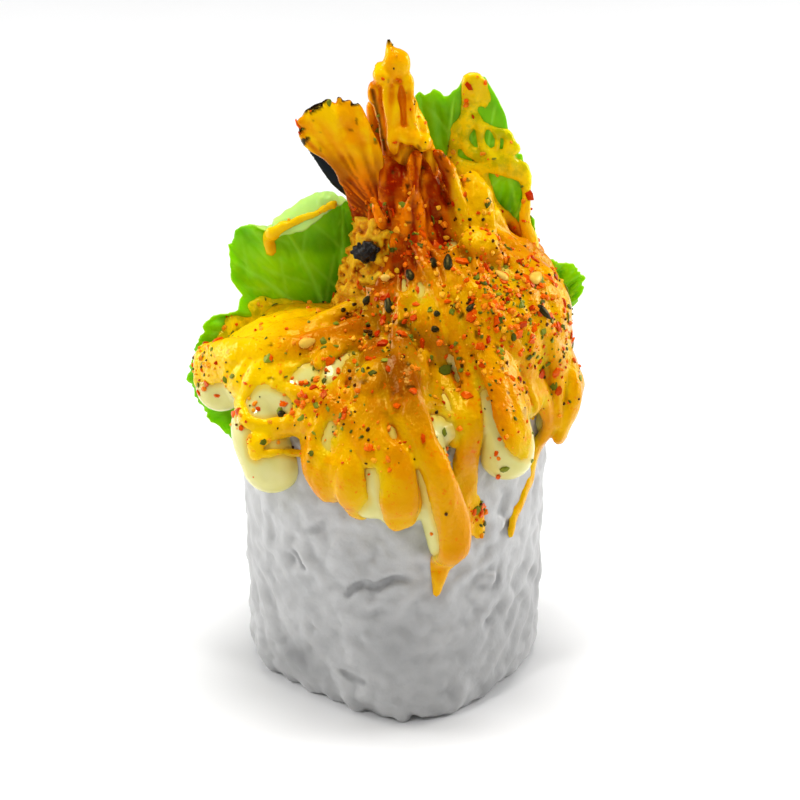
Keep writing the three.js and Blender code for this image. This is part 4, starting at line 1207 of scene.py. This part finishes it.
def make_sprinkles(objects, under):
    tree, points, triangles = tree_of(objects)
    a, b, c = (points[triangles[:, k]] for k in range(3))
    cross = np.cross(b - a, c - a)
    normals = unit(cross)
    chance = np.linalg.norm(cross, axis=1) * sprinkle_weight(under, (a + b + c) / 3, normals)
    chance /= chance.sum()
    rng = np.random.default_rng(31)

    def on_surface(angle, height):
        start = around(angle, 45, height + 12)
        way = around(angle, 0, height) - start
        hit, normal, _, _ = tree.ray_cast(Vector(start), Vector(way).normalized())
        return (np.array(hit), np.array(normal)) if hit else (None, None)

    def chosen(target, entries, shape_of, lift):
        for angle, height, long, wide, spin in entries:
            place, normal = on_surface(angle, height)
            if place is not None:
                target.lay(shape_of(long, wide), place, normal, math.radians(spin), lift, rng.random(), 0.08)

    def scattered(target, count, shape_of, lift, tip=0.25):
        pick = rng.choice(len(triangles), count, p=chance)
        u, v = rng.random((2, count))
        swap = u + v > 1
        u[swap], v[swap] = 1 - u[swap], 1 - v[swap]
        places = a[pick] + (b - a)[pick] * u[:, None] + (c - a)[pick] * v[:, None]
        for place, normal in zip(places, normals[pick]):
            target.lay(shape_of(), place, normal, rng.uniform(0, 6.3), lift, rng.random(), tip)

    def chip(low, high, thin):
        long = low + (high - low) * rng.random() ** 2.5
        return flake(rng, long, long * rng.uniform(0.4, 0.85), thin)

    def crumb(low, high):
        size = low + (high - low) * rng.random() ** 2
        return grain(rng, size, size * rng.uniform(0.7, 1), size * rng.uniform(0.6, 1), 4, 6, 0.2)

    black, white, chilli, crumbs, herbs, pepper = (Scatter(rng) for _ in range(6))
    chosen(black, BLACK_SEEDS, lambda long, wide: grain(rng, long, wide, 1.0), 0.2)
    chosen(white, WHITE_SEEDS, lambda long, wide: grain(rng, long, wide, 1.1), 0.25)
    chosen(chilli, CHILLI_CHIPS, lambda long, wide: flake(rng, long, wide, 0.5), 0.25)
    scattered(chilli, 580, lambda: chip(0.7, 2.8, 0.3), 0.12)
    scattered(crumbs, 1500, lambda: crumb(0.3, 1.3), 0.05, 0.6)
    chosen(herbs, HERB_CHIPS, lambda long, wide: flake(rng, long, wide, 0.3), 0.2)
    scattered(herbs, 760, lambda: chip(0.5, 2.4, 0.18), 0.12)
    for angle, height in DOT_TRAIL:
        place, normal = on_surface(angle, height)
        for _ in range(3):
            spot = place + rng.normal(0, 0.7, 3)
            pepper.lay(crumb(0.5, 1.0), spot, normal, 0, 0.05, rng.random() * 0.4)
    scattered(pepper, 480, lambda: crumb(0.25, 0.8), 0.04, 0.6)

    black.finish("black_sesame", (10, 14, 10), (34, 40, 26), 0.35, "sesame", True)
    white.finish("white_sesame", (240, 190, 70), (252, 224, 140), 0.3, "sesame", True)
    chilli.finish("chilli_flakes", (188, 30, 0), (255, 104, 2), 0.3, "chilli_flakes")
    crumbs.finish("orange_crumbs", (244, 92, 2), (255, 196, 40), 0.3, "chilli_flakes")
    herbs.finish("herb_flakes", (52, 64, 8), (150, 164, 40), 0.4, "herb_flakes")
    pepper.finish("pepper_dots", (20, 8, 2), (96, 34, 4), 0.35, "sesame")


# ---- Stage ----

ELEVATION = math.radians(25.0)
DISTANCE = 0.420
AIM = Vector((0.001, 0.0, 0.049))
LENS = 110.565
FLOOR_HALF = 1.5
# Place, size and power of each lamp.
LAMPS = {
    "above": ((0.0, 0.1, 1.8), 0.9, 27.0),
    "left": ((-0.5, 0.12, 0.20), 0.3, 1.6),
    "right": ((0.5, 0.14, 0.20), 0.3, 1.9),
    "key": ((-0.25, -0.36, 0.48), 0.06, 0.75),
    "glint": ((0.20, -0.30, 0.60), 0.05, 0.45),
    "low_glint": ((0.34, -0.44, 0.24), 0.04, 0.15),
}


def add(name, data):
    made = bpy.data.objects.new(name, data)
    bpy.context.scene.collection.objects.link(made)
    return made


def add_camera():
    data = bpy.data.cameras.new("camera")
    data.lens = LENS
    data.sensor_width = 36.0
    camera = add("camera", data)
    camera.location = AIM + DISTANCE * Vector((0, -math.cos(ELEVATION), math.sin(ELEVATION)))
    camera.rotation_euler = (math.pi / 2 - ELEVATION, 0, 0)
    bpy.context.scene.camera = camera


def add_floor():
    mesh = bpy.data.meshes.new("floor")
    h = FLOOR_HALF
    mesh.from_pydata([(-h, -h, 0), (h, -h, 0), (h, h, 0), (-h, h, 0)], [], [(0, 1, 2, 3)])
    n = Nodes("floor")
    mesh.materials.append(n.finish(n.mix(n.noise(40, 2), (0.9, 0.9, 0.9), (0.93, 0.93, 0.93)), 0.6))
    floor = add("floor", mesh)


def light_scene():
    world = bpy.data.worlds.new("studio")
    world.use_nodes = True
    background = world.node_tree.nodes["Background"]
    background.inputs["Color"].default_value = (1, 1, 1, 1)
    background.inputs["Strength"].default_value = 0.10
    bpy.context.scene.world = world
    for name, (place, size, power) in LAMPS.items():
        data = bpy.data.lights.new(name, "AREA")
        data.shape = "DISK"
        data.size = size
        data.energy = power
        light = add(name, data)
        light.location = place
        light.rotation_euler = (AIM - Vector(place)).to_track_quat("-Z", "Y").to_euler()
    bpy.context.scene.view_settings.view_transform = "Standard"
    bpy.context.scene.view_settings.look = "None"


# ---- Build ----

lettuce = leaf_material()
mayo = mayo_field()
sauce, under = sauce_field(mayo)
make_rice()
toppings = [make_mayo(mayo, sauce), make_sauce(sauce, under), make_body(), make_tail()]
make_dark_blade()
make_char()
leaves = [make_leaf(node, leaf, under, lettuce) for node, leaf in LEAVES.items()]
toppings.append(make_leaf_sauce(leaves))
make_sprinkles(toppings, under)
add_floor()
add_camera()
light_scene()
